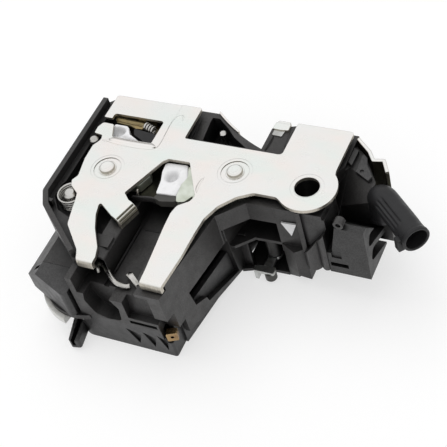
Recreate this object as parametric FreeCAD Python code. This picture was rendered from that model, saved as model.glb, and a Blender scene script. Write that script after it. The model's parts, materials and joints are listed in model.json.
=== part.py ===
import FreeCAD, Part
import math
import os

V = FreeCAD.Vector

# Door latch actuator, in millimetres.
# The origin is the middle of the fixing hole, on the upper face of the steel latch plate.
# +X runs along the plate towards the connector, +Y away from the striker, +Z out of the door edge.

# Running gap between pieces that move past each other, and the gap between neighbours on other bodies
GAP = 0.35
# Radial clearance of a pivot in its hole
PIVOT_CLEARANCE = 0.06

# Steel latch plate
PLATE_T = 1.5
FIX_HOLE_R = 4.85
FLANGE_R = 11.6
PLATE_LEFT = -97.6
PLATE_RIGHT = 7.8
PLATE_REAR = 30.5
NOTCH_LEFT = -57.8
NOTCH_RIGHT = -15.6
NOTCH_FRONT = 13.2
WINDOW_LEFT = PLATE_LEFT + 3.8
WINDOW_RIGHT = -70.6
WINDOW_REAR = 20.4
WINDOW_FRONT = 7.8
SIDE_SLOT = (14.6, 17.6)
CORNER_RIGHT = -66.8
CORNER_FRONT = 5.4
CREASE_Y = -30.8
LEG_END_Y = -56.2
SHORT_LEG_END_Y = -52.8
MOUTH_MIDDLE_X = -55.0
LEG_BEND_DEG = 5.0
LEG_LIP = 3.4
COIN_DEPTH = 0.3
COIN_R = 6.2

# Rivets: the left one carries the pawl, the right one carries the claw
PAWL_PIVOT = (-82.2, -8.6)
CLAW_PIVOT = (-30.2, 1.0)
RIVET_R = 2.6
RIVET_HEAD_R = 2.9
RIVET_HEAD_H = 1.2

# Levels of the lock chamber, measured down from the plate's upper face
CLAW_T = 3.6
CHAMBER_PLAY = 0.5
BACK_PLATE_T = 1.5
RIM_TOP = -3.7

# Housing
HOUSING_LEFT = -103.3
HOUSING_REAR = 32.2
HOUSING_FRONT = -58.6
HOUSING_FLOOR = -29.0
BASE_FLOOR = -44.0
BASE_FRONT = -58.4
GUARD_T = 2.2
WALL = 2.0
SHOULDER_TOP = -15.0
SHOULDER_EDGE = -20.8
SHOULDER_SLOPE = 7.6
SEAM_Y = -48.4
CHANNEL_FLOOR = -14.5
CHANNEL_LEFT = -65.2
CHANNEL_RIGHT = -46.8
ARM_FRONT = (-36.2, HOUSING_FRONT)
ARM_REAR = (-30.8, -18.9)
ARCH_TOP = (-21.7, -10.2)
ARCH_RIGHT = (-2.2, -9.8)
ARC_START = (-51.6, HOUSING_REAR)
ARC_MIDDLE = (-39.4, 23.6)
ARC_END = (-26.8, 17.6)
POST_LEFT = -76.9
ARM_RIGHT = -30.4
BAY_RIGHT = -10.8
BAY_REAR = 1.6
BAY_TOP = -12.6
ARM_POCKET_DEPTH = 9.0
ARM_POCKET_TOP = -20.3

# Fixing boss under the flange
BOSS_R = 9.6
BOSS_BORE_R = 5.7
BOSS_SCREW_R = 3.4
BOSS_BORE_END = -24.0

# Gear drive
WHEEL_CENTRE = (-81.0, -40.0)
WHEEL_R = 13.4
WHEEL_T = 4.4
WHEEL_TEETH = 30
WHEEL_MID_Z = -25.0
TOOTH_DEPTH = 1.5
AXLE_R = 2.0
WORM_X = -63.8
WORM_CORE_R = 2.5
WORM_THREAD_R = 0.7
WORM_TURNS = 4
MOTOR_WIDTH = 20.0
MOTOR_THICK = 15.0
MOTOR_LENGTH = 25.0
MOTOR_FRONT_Y = -27.6
SHAFT_R = 1.0
SHAFT_FRONT_Y = -51.8

# Gear cover under the gear case
DRUM_R = 22.3
DRUM_TOP = -31.4
DRUM_T = 3.0

# Connector box at the right end
BOX_LEFT = 9.6
BOX_RIGHT = 26.0
BOX_FRONT = -13.0
BOX_REAR = 5.0
BOX_FLOOR = -31.4
BOX_TOP = -4.6
BOX_REAR_TOP = -22.2
PORT_W = 5.6
PORT_DEPTH = 9.0
PORT_STARTS = [(-9.4, -12.9), (-8.8, -21.7)]
PORT_SLOPE_DEG = -22.0
BLADE_T = 0.8
BLADE_LENGTH = 6.5

# Rubber elbow boot: its long leg is level and ends in the open mouth
BOOT_R = 5.15
BOOT_BORE_R = 4.3
BOOT_Z = -7.0
BOOT_LENGTH = 27.5
BOOT_ELBOW = (24.1, 9.2)
BOOT_HEADING_DEG = -41.7
BOOT_BEND_R = 5.8
SHELF_Z = -20.0

# Springs
SPRING_WIRE_R = 0.5
POST_CENTRE = (-93.0, -22.6)
POST_R = 2.8
POST_TOP = -PLATE_T - 0.2
SPRING_R = 4.4
SPRING_TURNS = 4

# Release lever in the window
LEVER_PIVOT = (-75.6, 18.2)
LEVER_PIN_R = 1.5

# Cable lever under the arch
LEVER_AXIS = (-18.0, -5.0)

# Screws of the base cover
SCREWS = [(-78.4, 9.8), (-15.2, 9.8), (-42.6, -46.6), (-44.0, 9.8)]
SCREW_END = -31.0
SCREW_R = 1.5
SCREW_HEAD_R = 3.0
SCREW_HEAD_H = 1.8

# Levels worked out from the sizes above
CLAW_TOP = -PLATE_T - CHAMBER_PLAY
CLAW_BOTTOM = CLAW_TOP - CLAW_T
BACK_TOP = CLAW_BOTTOM - CHAMBER_PLAY
CHAMBER_FLOOR = BACK_TOP - BACK_PLATE_T
SPRING_POCKET_FLOOR = CHAMBER_FLOOR - 3.9
LEVER_EYE_LOW = CHAMBER_FLOOR + GAP
LEVER_EYE_TOP = LEVER_EYE_LOW + 0.8
LEG_SLOPE = math.tan(math.radians(LEG_BEND_DEG))
WHEEL_TOP = WHEEL_MID_Z + WHEEL_T / 2
WHEEL_BOTTOM = WHEEL_MID_Z - WHEEL_T / 2
GEAR_ROOF = WHEEL_TOP + 1.2
GEAR_ROOM_R = WHEEL_R + 1.2
COVER_TOP = HOUSING_FLOOR - 0.1


def outline(points, z=0.0):
    """A closed wire at height z through (x, y) points; a third value rounds that corner with its radius."""
    count = len(points)
    ends = []
    for i, point in enumerate(points):
        here = V(point[0], point[1], z)
        if len(point) == 2:
            ends.append((here, None, here))
            continue
        before = V(points[i - 1][0], points[i - 1][1], z)
        after = V(points[(i + 1) % count][0], points[(i + 1) % count][1], z)
        back = (before - here).normalize()
        ahead = (after - here).normalize()
        half = back.getAngle(ahead) / 2
        reach = point[2] / math.tan(half)
        inward = (back + ahead).normalize()
        middle = here + inward * (point[2] / math.sin(half) - point[2])
        ends.append((here + back * reach, middle, here + ahead * reach))
    edges = []
    for i, (start, middle, end) in enumerate(ends):
        if middle is not None:
            edges.append(Part.Arc(start, middle, end).toShape())
        following = ends[(i + 1) % count][0]
        if end.distanceToPoint(following) > 1e-6:
            edges.append(Part.LineSegment(end, following).toShape())
    return Part.Wire(edges)


def prism(points, low, high):
    """A plan outline raised from low to high."""
    return Part.Face(outline(points, low)).extrude(V(0, 0, high - low))


def prism_x(points, low, high):
    """A (y, z) outline drawn out along X from low to high."""
    solid = prism(points, low, high)
    solid.rotate(V(0, 0, 0), V(1, 1, 1), 120)
    return solid


def prism_y(points, low, high):
    """An (x, z) outline drawn out along Y from low to high."""
    solid = prism([(p[1], p[0]) + tuple(p[2:]) for p in points], low, high)
    solid.rotate(V(0, 0, 0), V(1, 1, 1), -120)
    return solid


def box(x, y, z):
    """A block between pairs of limits."""
    return Part.makeBox(x[1] - x[0], y[1] - y[0], z[1] - z[0], V(x[0], y[0], z[0]))


def rod(centre, radius, low, high):
    """An upright cylinder at the plan point centre."""
    return Part.makeCylinder(radius, high - low, V(centre[0], centre[1], low))


def rod_along(start, direction, radius, length):
    """A cylinder from start along direction."""
    return Part.makeCylinder(radius, length, V(*start), V(*direction))


def turned(profile, centre):
    """An (r, z) profile turned about an upright axis at the plan point centre."""
    face = Part.Face(Part.makePolygon([V(r, 0, z) for r, z in profile] + [V(profile[0][0], 0,
                                                                            profile[0][1])]))
    solid = face.revolve(V(0, 0, 0), V(0, 0, 1), 360)
    solid.translate(V(centre[0], centre[1], 0))
    return solid


def polar(centre, radius, degrees):
    """The plan point at a radius and angle from centre."""
    turn = math.radians(degrees)
    return (centre[0] + radius * math.cos(turn), centre[1] + radius * math.sin(turn))


def joined(first, *others):
    """One solid of several that touch or overlap."""
    return first.fuse(list(others)).removeSplitter()


def swept(path_edges, radius):
    """A round wire of the given radius along joined edges."""
    path = Part.Wire(path_edges)
    start = path.Edges[0]
    tangent = start.tangentAt(start.FirstParameter)
    section = Part.Wire(Part.makeCircle(radius, start.valueAt(start.FirstParameter), tangent))
    return path.makePipeShell([section], True, True)


def coil(centre, radius, wire, low, pitch, turns):
    """A helical spring wound upwards from low."""
    helix = Part.makeHelix(pitch, pitch * turns, radius)
    start = helix.Edges[0]
    tangent = start.tangentAt(start.FirstParameter)
    section = Part.Wire(Part.makeCircle(wire, start.valueAt(start.FirstParameter), tangent))
    spring = Part.Wire(helix.Edges).makePipeShell([section], True, True)
    spring.translate(V(centre[0], centre[1], low))
    return spring


def save(name, *solids):
    """Write one named piece, or a group of like pieces."""
    shape = solids[0] if len(solids) == 1 else Part.makeCompound(list(solids))
    shape.exportStep("parts/%s.step" % name)
    print("%-20s valid %s solids %d volume %.0f" % (name, shape.isValid(), len(shape.Solids), shape.Volume))


# Steel plates and rivets

PLATE_OUTLINE = [
    (PLATE_LEFT, PLATE_REAR, 1.0), (PLATE_LEFT, SIDE_SLOT[1], 0.6), (WINDOW_LEFT, SIDE_SLOT[1]),
    (WINDOW_LEFT, WINDOW_REAR, 1.2), (WINDOW_RIGHT, WINDOW_REAR, 1.4), (WINDOW_RIGHT, WINDOW_FRONT, 0.8),
    (WINDOW_LEFT + 5.0, WINDOW_FRONT, 1.2), (WINDOW_LEFT + 2.4, SIDE_SLOT[0] - 0.2, 0.8),
    (PLATE_LEFT + 1.2, SIDE_SLOT[0], 1.5), (PLATE_LEFT, 11.6, 1.0), (PLATE_LEFT + 0.2, 8.4, 0.6),
    (PLATE_LEFT + 4.2, 7.8, 0.8), (PLATE_LEFT + 5.0, 4.8, 1.6), (PLATE_LEFT + 3.2, 1.4, 1.0),
    (PLATE_LEFT + 3.4, -6.0, 3.0), (PLATE_LEFT + 5.2, -15.0, 2.0), (PLATE_LEFT + 3.8, -17.8, 1.0),
    (PLATE_LEFT + 5.0, -20.4, 0.8),
    (-88.2, -23.6, 1.6), (-87.0, -27.4, 1.2), (-84.6, -38.4, 3.0), (-75.4, -48.2, 2.0),
    (-73.4, SHORT_LEG_END_Y), (-66.6, SHORT_LEG_END_Y), (-66.4, -49.6, 1.5), (-67.6, -45.4, 3.0),
    (-72.6, -37.6, 2.0),
    (-75.2, -31.8, 2.0), (-76.8, -25.4, 0.7), (-68.6, -30.9), (-65.6, -22.0), (-69.0, -18.9, 0.8),
    (-61.2, -0.4, 1.6), (-59.4, 1.4, 1.0), (-50.0, 1.6, 1.2), (-42.4, -11.0, 2.0),
    (-40.4, -14.0, 2.4), (-41.4, -17.0, 2.0), (-45.4, -20.2, 2.5), (-46.2, -24.2, 2.5), (-44.7, -50.0, 3.0),
    (-44.6, LEG_END_Y), (-35.7, LEG_END_Y), (-33.6, -41.4, 3.0), (-32.4, -23.6, 4.0), (-29.8, -16.8, 4.0),
    (-24.6, -10.8, 4.0), (-18.8, -7.4, 4.0), (-9.6, -7.4, 3.0),
]
FLANGE_START_DEG = 229.0
FLANGE_END_DEG = 405.0


def plate_plan():
    """The plate's plan as a tall prism: the corner points with the round fixing flange joined on."""
    start = polar((0, 0), FLANGE_R, FLANGE_START_DEG)
    end = polar((0, 0), FLANGE_R, FLANGE_END_DEG)
    rear = [(PLATE_RIGHT, end[1] + 2.0, 2.0), (PLATE_RIGHT, PLATE_REAR, 1.2), (NOTCH_RIGHT, PLATE_REAR, 0.8),
            (NOTCH_RIGHT, NOTCH_FRONT, 1.6), (NOTCH_LEFT, NOTCH_FRONT, 0.8), (NOTCH_LEFT, PLATE_REAR, 0.8)]
    steel = prism(PLATE_OUTLINE + [start, end] + rear, -PLATE_T * 8, PLATE_T)
    return joined(steel, rod((0, 0), FLANGE_R, -PLATE_T * 8, PLATE_T))


def sheet_side_view(end, left, right):
    """Part of the plate seen from its end: level, bent down along the crease, with a lip at the leg's end."""
    drop = (CREASE_Y - end) * LEG_SLOPE
    lip = -drop - LEG_LIP
    section = [(PLATE_REAR + 1, 0), (CREASE_Y, 0), (end, -drop, 1.6), (end, lip), (end + PLATE_T, lip),
               (end + PLATE_T, -drop - PLATE_T), (CREASE_Y, -PLATE_T), (PLATE_REAR + 1, -PLATE_T)]
    return prism_x(section, left, right)


def rolled_tab():
    """The short arm's end, rolled down beside the mouth."""
    foot = -5.4
    outer, inner = 4.0, 4.0 - PLATE_T
    lean = math.sqrt(0.5)
    edges = [Part.Arc(V(0, 0, 0), V(outer * lean, 0, outer * lean - outer), V(outer, 0, -outer)).toShape(),
             Part.LineSegment(V(outer, 0, -outer), V(outer, 0, foot)).toShape(),
             Part.LineSegment(V(outer, 0, foot), V(inner, 0, foot)).toShape(),
             Part.LineSegment(V(inner, 0, foot), V(inner, 0, -outer)).toShape(),
             Part.Arc(V(inner, 0, -outer), V(inner * lean, 0, inner * lean - outer),
                      V(0, 0, -PLATE_T)).toShape(),
             Part.LineSegment(V(0, 0, -PLATE_T), V(0, 0, 0)).toShape()]
    roll = Part.Face(Part.Wire(edges)).extrude(V(0, 9.4, 0))
    roll.rotate(V(0, 0, 0), V(0, 0, 1), -18.6)
    roll.translate(V(-68.6, -30.9, 0))
    return roll


def corner_room(low):
    """The room over the plate's lowered corner round the window, down to the level low."""
    return box((PLATE_LEFT - 1, CORNER_RIGHT), (CORNER_FRONT, PLATE_REAR + 1), (low, 1))


def whole_plate():
    """The pressed plate with its bent legs, its coined rivet seats and its lowered corner."""
    sheet = joined(sheet_side_view(SHORT_LEG_END_Y, PLATE_LEFT - 1, MOUTH_MIDDLE_X),
                   sheet_side_view(LEG_END_Y, MOUTH_MIDDLE_X, FLANGE_R + 1))
    plate = joined(sheet.common(plate_plan()), rolled_tab())
    plate = plate.cut(rod((0, 0), FIX_HOLE_R, -PLATE_T - 1, 1))
    for pivot in (PAWL_PIVOT, CLAW_PIVOT):
        ring = rod(pivot, COIN_R, -COIN_DEPTH, 1).cut(rod(pivot, RIVET_HEAD_R + 0.8, -COIN_DEPTH - 1, 1))
        plate = plate.cut(ring)
        plate = plate.cut(rod(pivot, RIVET_R, -PLATE_T - 1, 1))
    return plate.cut(corner_room(-COIN_DEPTH))


def make_latch_plate():
    """The plate up to the edges of its lowered corner."""
    return whole_plate().cut(corner_room(-PLATE_T - 1))


def make_plate_corner():
    """The plate's lowered corner, kept as a part of its own."""
    return whole_plate().common(corner_room(-PLATE_T - 1))


def make_rivet(pivot):
    """A headed rivet with a shoulder that reaches through the back plate."""
    dome = [(0, SPRING_POCKET_FLOOR), (RIVET_R, SPRING_POCKET_FLOOR), (RIVET_R, 0), (RIVET_HEAD_R, 0),
            (RIVET_HEAD_R, RIVET_HEAD_H * 0.55), (RIVET_HEAD_R - 0.5, RIVET_HEAD_H), (1.4, RIVET_HEAD_H),
            (1.1, RIVET_HEAD_H * 0.6), (0, RIVET_HEAD_H * 0.6)]
    return turned(dome, pivot)


BACK_OUTLINE = [
    (-93.0, 9.0, 2.0), (-93.0, -17.0, 2.0), (-74.0, -19.0, 2.0), (-67.0, -14.6, 1.0), (-46.0, -12.4),
    (-40.0, -16.4, 1.0), (-33.4, -16.0, 1.0), (-24.4, -6.8, 1.0), (-13.8, -4.8, 1.0), (-13.8, 11.0, 1.0),
    (-54.0, 11.4, 1.0), (-60.0, 9.0, 1.0),
]


def make_back_plate():
    plate = prism(BACK_OUTLINE, CHAMBER_FLOOR, BACK_TOP)
    for pivot in (PAWL_PIVOT, CLAW_PIVOT):
        plate = plate.cut(rod(pivot, RIVET_R, CHAMBER_FLOOR - 1, BACK_TOP + 1))
    return plate


def make_side_strap():
    """Upright steel strip folded round the right rear corner."""
    inner = [(8.8, 29.4), (15.2, 24.0), (18.3, 19.8), (22.2, 20.6), (25.4, 15.0)]
    outer = [(26.5, 15.6), (22.7, 22.0), (18.7, 21.2), (16.0, 25.0), (8.8, 31.0)]
    return prism(inner + outer, -18.0, -2.6)


# Lock work between the plates

def bush(pivot, radius):
    """Bearing hole of a lock piece round its rivet."""
    return rod(pivot, radius + PIVOT_CLEARANCE, CHAMBER_FLOOR - 1, 1)


CLAW_OUTLINE = [
    (-50.4, 0.6), (-49.0, -14.2), (-47.8, -17.0, 1.0), (-44.6, -16.2, 1.5), (-42.6, -12.8),
    (-40.6, -17.0, 2.0), (-41.0, -23.2, 1.6), (-36.0, -23.4, 2.0), (-31.0, -13.0, 3.0), (-21.6, -5.6, 4.0),
    (-20.6, 7.0, 5.0), (-30.0, 10.6, 6.0), (-42.0, 6.2, 4.0),
]


def make_claw():
    return prism(CLAW_OUTLINE, CLAW_BOTTOM, CLAW_TOP).cut(bush(CLAW_PIVOT, RIVET_R))


def make_claw_arm():
    """White coated arm with a round dimple."""
    arm = prism([(-60.6, 0.2, 1.4), (-57.2, -14.9), (-49.0, -14.2), (-50.4, 0.6), (-52.0, 1.8, 0.8)],
                CLAW_BOTTOM, CLAW_TOP)
    return arm.cut(rod((-55.2, -4.6), 2.0, CLAW_TOP - 0.8, CLAW_TOP + 1))


def make_claw_bumper():
    """Dark moulded bumper that meets the striker."""
    return prism([(-57.2, -14.9), (-58.0, -16.8, 0.8), (-54.6, -18.0, 2.0), (-49.2, -16.9, 0.6),
                  (-48.1, -16.4),
                  (-49.0, -14.2)], CLAW_BOTTOM, CLAW_TOP - 0.4)


PAWL_OUTLINE = [
    (-88.6, -12.0, 3.0), (-85.0, -16.6, 3.0), (-76.0, -14.8, 3.0), (-66.2, -13.0, 1.0), (-64.0, -7.4, 1.0),
    (-65.2, -4.4, 1.0), (-75.0, -3.4, 3.0), (-80.0, -1.0, 3.0), (-86.6, -1.2, 3.0), (-89.0, -5.0, 2.0),
]


def make_pawl():
    return prism(PAWL_OUTLINE, CLAW_BOTTOM, CLAW_TOP).cut(bush(PAWL_PIVOT, RIVET_R))


def make_pivot_spring(pivot):
    """Return spring wound round the rivet's shank under the back plate."""
    return coil(pivot, 4.6, SPRING_WIRE_R, SPRING_POCKET_FLOOR + 0.6, 1.1, 2.4)


def make_lever_spring():
    pitch = SPRING_WIRE_R * 2 + 0.12
    low = -PLATE_T - SPRING_WIRE_R - 0.1 - pitch * SPRING_TURNS
    return coil(POST_CENTRE, SPRING_R, SPRING_WIRE_R, low, pitch, SPRING_TURNS)


def make_spring_post():
    return turned([(0, CHAMBER_FLOOR), (POST_R + 2.2, CHAMBER_FLOOR), (POST_R + 2.2, CHAMBER_FLOOR + 0.3),
                   (POST_R, CHAMBER_FLOOR + 0.3), (POST_R, -2.6), (POST_R - 1.0, POST_TOP), (0, POST_TOP)],
                  POST_CENTRE)


def make_stop_pin():
    return turned([(0, CHAMBER_FLOOR), (1.9, CHAMBER_FLOOR), (1.9, -1.2), (1.4, -0.7), (0, -0.7)],
                  (-96.6, 5.6))


# Lever and slider in the window

def make_release_lever():
    """Strip on edge with a lug towards the slider and a low flat eye that turns on its pin."""
    front, rear = 21.2, 22.6
    blade = box((WINDOW_LEFT - 0.8, LEVER_PIVOT[0]), (front, rear), (LEVER_EYE_LOW, -2.4))
    lug = prism([(-83.6, front + 0.2), (-83.6, 18.4, 0.6), (-80.4, 18.0, 0.6), (-80.2, front + 0.2)], -5.6,
                -2.8)
    eye = rod(LEVER_PIVOT, 2.6, LEVER_EYE_LOW, LEVER_EYE_TOP)
    web = prism([(-80.2, rear - 0.2), (-77.6, 17.0), (-73.6, 17.0), (LEVER_PIVOT[0], rear - 0.2)],
                LEVER_EYE_LOW, LEVER_EYE_TOP)
    return joined(blade, lug, eye, web).cut(rod(LEVER_PIVOT, LEVER_PIN_R + PIVOT_CLEARANCE,
                                                LEVER_EYE_LOW - 1, 0))


def make_lever_pin():
    head = LEVER_EYE_TOP + GAP
    return turned([(0, CHAMBER_FLOOR), (LEVER_PIN_R, CHAMBER_FLOOR), (LEVER_PIN_R, head),
                   (LEVER_PIN_R + 0.6, head),
                   (LEVER_PIN_R + 0.6, head + 0.3), (0, head + 0.3)], LEVER_PIVOT)


def make_lock_slider():
    """White slider under the window, with a hollow for the thumb and a raised grip in front."""
    plan = [(-92.0, 16.4, 1.0), (-92.0, 6.2, 1.0), (-75.6, 6.2, 1.0), (-75.6, 9.2, 0.6), (-77.0, 9.2, 1.0),
            (-82.8, 12.2, 1.0), (-85.0, 16.4, 0.8)]
    block = prism(plan, BACK_TOP + GAP, -PLATE_T - GAP)
    hollow = rod_along((-88.6, 9.4, 0.4), (0, 1, 0), 3.2, 8.0)
    grip = prism([(-87.2, 8.2, 0.9), (-79.0, 8.2, 0.9), (-79.0, 10.2, 0.9), (-87.2, 10.2, 0.9)], -3.0, -0.2)
    return joined(block.cut(hollow), grip)


def make_slider_guide():
    """Black guide block that the slider runs against."""
    return prism([(-83.0, 15.7, 0.6), (-81.4, 12.5, 0.6), (-75.7, 9.7, 0.6), (-71.6, 9.7, 0.6),
                  (-72.4, 14.4, 0.8)],
                 CHAMBER_FLOOR, -2.2)


def make_window_spring():
    """Small coil lying along the window beside the release lever."""
    radius, wire, length = 1.6, 0.35, 4.6
    spring = coil((0, 0), radius, wire, 0.0, length / 5, 5)
    spring.rotate(V(0, 0, 0), V(0, 1, 0), 90)
    spring.translate(V(LEVER_PIVOT[0] - 3.6, 19.0, -PLATE_T - radius - wire - 0.2))
    return spring


# Housing

def arm_x(y):
    """Where the arm's outer wall stands at y."""
    slope = (ARM_REAR[0] - ARM_FRONT[0]) / (ARM_REAR[1] - ARM_FRONT[1])
    return ARM_FRONT[0] + (y - ARM_FRONT[1]) * slope


def housing_body():
    """The main moulding's plan shape, with the rear cut away along a curve."""
    plan = [(HOUSING_LEFT, HOUSING_REAR - 4.4), (HOUSING_LEFT, -25.4, 3.0),
            (HOUSING_LEFT + 4.1, -32.5, 3.0), (POST_LEFT, -50.7),
            (POST_LEFT, HOUSING_FRONT), ARM_FRONT, ARM_REAR, ARCH_TOP, ARCH_RIGHT, (BOX_LEFT, -9.8),
            (BOX_LEFT, BOX_REAR), (22.0, BOX_REAR), (22.0, 12.0), (14.0, 24.4), (8.8, 28.6),
            (8.8, HOUSING_REAR),
            (-17.6, HOUSING_REAR), (-26.8, HOUSING_REAR - 3.2), ARC_END, ARC_START,
            (HOUSING_LEFT + 4.7, HOUSING_REAR)]
    body = prism(plan, HOUSING_FLOOR, RIM_TOP)
    low, high = V(*ARC_START, HOUSING_FLOOR - 1), V(*ARC_END, HOUSING_FLOOR - 1)
    middle = V(*ARC_MIDDLE, HOUSING_FLOOR - 1)
    bulge = Part.Face(Part.Wire([Part.Arc(low, middle, high).toShape(),
                                 Part.LineSegment(high, low).toShape()]))
    return body.cut(bulge.extrude(V(0, 0, RIM_TOP - HOUSING_FLOOR + 2)))


def guard_wall():
    """Thin wall beside and in front of the plate's left edge, level with the plate's top."""
    inner = HOUSING_LEFT + GUARD_T
    path = [(HOUSING_LEFT, HOUSING_REAR - 4.4), (HOUSING_LEFT, -25.4, 3.0),
            (HOUSING_LEFT + 4.1, -32.5, 3.0), (POST_LEFT, -50.7),
            (POST_LEFT + 1.1, -49.2), (inner + 3.5, -30.8, 3.0), (inner, -24.8, 2.0),
            (inner, HOUSING_REAR - 4.4)]
    brace = prism([(HOUSING_LEFT + 1.8, -29.0), (HOUSING_LEFT + 6.3, -29.6), (HOUSING_LEFT + 6.3, -28.2),
                   (HOUSING_LEFT + 1.8, -27.6)], RIM_TOP - 1, -0.6)
    return joined(prism(path, RIM_TOP - 1, 0.0), brace)


def left_shoulder():
    """Step under the guard wall that carries the gear case cap; its left edge is chamfered."""
    return prism_y(gear_case_section(POST_LEFT), SEAM_Y, -26.0)


def gear_case_section(right):
    """The gear case seen from the front, up to its right side."""
    return [(HOUSING_LEFT + 0.4, HOUSING_FLOOR), (HOUSING_LEFT + 0.4, SHOULDER_EDGE),
            (HOUSING_LEFT + SHOULDER_SLOPE, SHOULDER_TOP), (right, SHOULDER_TOP), (right, HOUSING_FLOOR)]


def gear_skirt():
    """Ring wall between the housing and the gear cover."""
    ring = rod(WHEEL_CENTRE, DRUM_R - 2.0, DRUM_TOP, HOUSING_FLOOR).cut(rod(WHEEL_CENTRE, GEAR_ROOM_R,
                                                                            DRUM_TOP, 0))
    return ring.cut(prism(base_plan(-GAP), BASE_FLOOR, 0))


CHAMBER_OUTLINE = [
    (HOUSING_LEFT + 4.5, 19.4, 1.5), (HOUSING_LEFT + 4.5, -16.0), (HOUSING_LEFT + 3.7, -18.0),
    (HOUSING_LEFT + 3.7, -24.4, 3.0), (HOUSING_LEFT + 8.7, -30.6, 2.0), (-86.0, -34.0, 3.0),
    (-76.6, -37.6, 2.0),
    (-38.6, -37.6, 1.0), (-35.6, -24.0, 2.0), (-31.6, -17.0, 1.0), (-24.4, -8.0, 1.0), (-13.0, -6.0, 1.0),
    (-13.0, 12.2, 2.0), (-20.0, 15.6, 2.0), (-66.0, 15.6, 1.0), (-66.0, 26.4, 2.0),
    (HOUSING_LEFT + 6.5, 26.4, 1.5),
]


def lock_chamber():
    """Room for the claw, the pawl and the levers, open to the plate, with a pocket for each pivot spring."""
    room = prism(CHAMBER_OUTLINE, CHAMBER_FLOOR, 1.0)
    pockets = [rod(pivot, 6.0, SPRING_POCKET_FLOOR, CHAMBER_FLOOR + 1) for pivot in (PAWL_PIVOT, CLAW_PIVOT)]
    return joined(room, *pockets)


def striker_channel():
    """Channel under the mouth for the striker, open to the front, with a groove along its left side."""
    front = HOUSING_FRONT - 1
    channel = box((CHANNEL_LEFT, CHANNEL_RIGHT), (front, -10.4), (CHANNEL_FLOOR, 1))
    groove = box((CHANNEL_LEFT, CHANNEL_LEFT + 2.2), (front, -10.4), (CHANNEL_FLOOR - 1.0,
                                                                      CHANNEL_FLOOR + 1))
    step = box((CHANNEL_LEFT, CHANNEL_RIGHT), (-24.0, -10.4), (CHANNEL_FLOOR - 0.4, CHANNEL_FLOOR + 1))
    bay = box((CHANNEL_LEFT - 9.0, CHANNEL_LEFT + 1), (front, -43.0), (CHANNEL_FLOOR, 1))
    return joined(channel, groove, step, bay)


def front_bays():
    """Recesses in the front face: the deep bay with its round lower corner, the sloped bay, and a slot."""
    front = HOUSING_FRONT - 1
    deep = prism_y([(-69.8, 1), (-69.8, -8.0), (-72.4, -19.0, 3.0), (-69.6, -26.4, 3.0), (-64.6, -28.2, 4.0),
                    (-58.2, -27.4, 2.0), (-56.6, -15.0), (-56.6, 1)], front, -52.6)
    sloped = prism_x([(front, -8.0), (-53.6, -8.0), (-55.6, -24.0), (front, -24.0)], -54.4, -41.6)
    slot = box((-54.4, -42.6), (front, -54.0), (-27.4, -25.6))
    under_long_lip = box((-50, -34), (front, LEG_END_Y + PLATE_T + 1.0), (-6.4, 1))
    under_short_lip = box((-80, -50), (front, SHORT_LEG_END_Y + PLATE_T + 0.5), (-6.4, 1))
    return [deep, sloped, slot, under_long_lip, under_short_lip]


def front_web():
    """Upright web between the two bays, with a gusset at its foot."""
    web = prism_x([(-49.6, -14.8), (HOUSING_FRONT, -14.8), (HOUSING_FRONT, HOUSING_FLOOR),
                   (-49.6, HOUSING_FLOOR)],
                  -56.6, -54.4)
    fillet = prism_y([(-60.0, -14.6), (-56.6, -14.6), (-56.6, -20.4)], HOUSING_FRONT, -52.0)
    return joined(web, fillet)


def terminal_recess():
    """Corner recess at the front right, where the brass terminal shows."""
    return box((-41.6, -34.0), (-62.0, -54.2), (-35.4, -19.8))


def arm_pocket():
    """Stepped pocket in the arm's outer wall."""
    wide = [(-44.0, ARM_POCKET_TOP), (-42.8, -29.4), (-36.4, -32.4), (-35.6, -35.6), (-15.2, -41.2),
            (-16.6, ARM_POCKET_TOP)]
    return prism_x(wide, -36.0 - ARM_POCKET_DEPTH, -24.0)


def arm_skirt():
    """The arm's outer wall carried down beside the base cover, its lower edge sloped."""
    wall = prism([(arm_x(-50.2) - WALL, -50.2), (arm_x(-50.2), -50.2), (arm_x(-9.0), -9.0),
                  (arm_x(-9.0) - WALL, -9.0)],
                 BASE_FLOOR, HOUSING_FLOOR)
    under = prism_x([(-52, -36.6), (-8, BASE_FLOOR), (-8, BASE_FLOOR - 2), (-52, BASE_FLOOR - 2)], -45, -18)
    return wall.cut(under)


def arch_bay():
    """Open space under the arch band, divided by a thin shelf."""
    plan = [(arm_x(-20.0) + 0.02, -22.0), (BAY_RIGHT, -14.0), (BAY_RIGHT, BAY_REAR), (-26.0, BAY_REAR),
            (arm_x(-6.0), -6.0)]
    upper = prism(plan, -23.8, BAY_TOP)
    lower = prism(plan, BASE_FLOOR - 1, -25.2)
    return [upper, lower]


def arch_floor():
    """Thin floor of the bay, from the arm to the fixing boss."""
    return prism([(-30.0, -13.4), (-22.0, -10.4), (-10.6, -10.2), (-10.6, 1.9), (-29.0, 1.9),
                  (-29.6, -11.4)],
                 BASE_FLOOR, BASE_FLOOR + 1.6)


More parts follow.
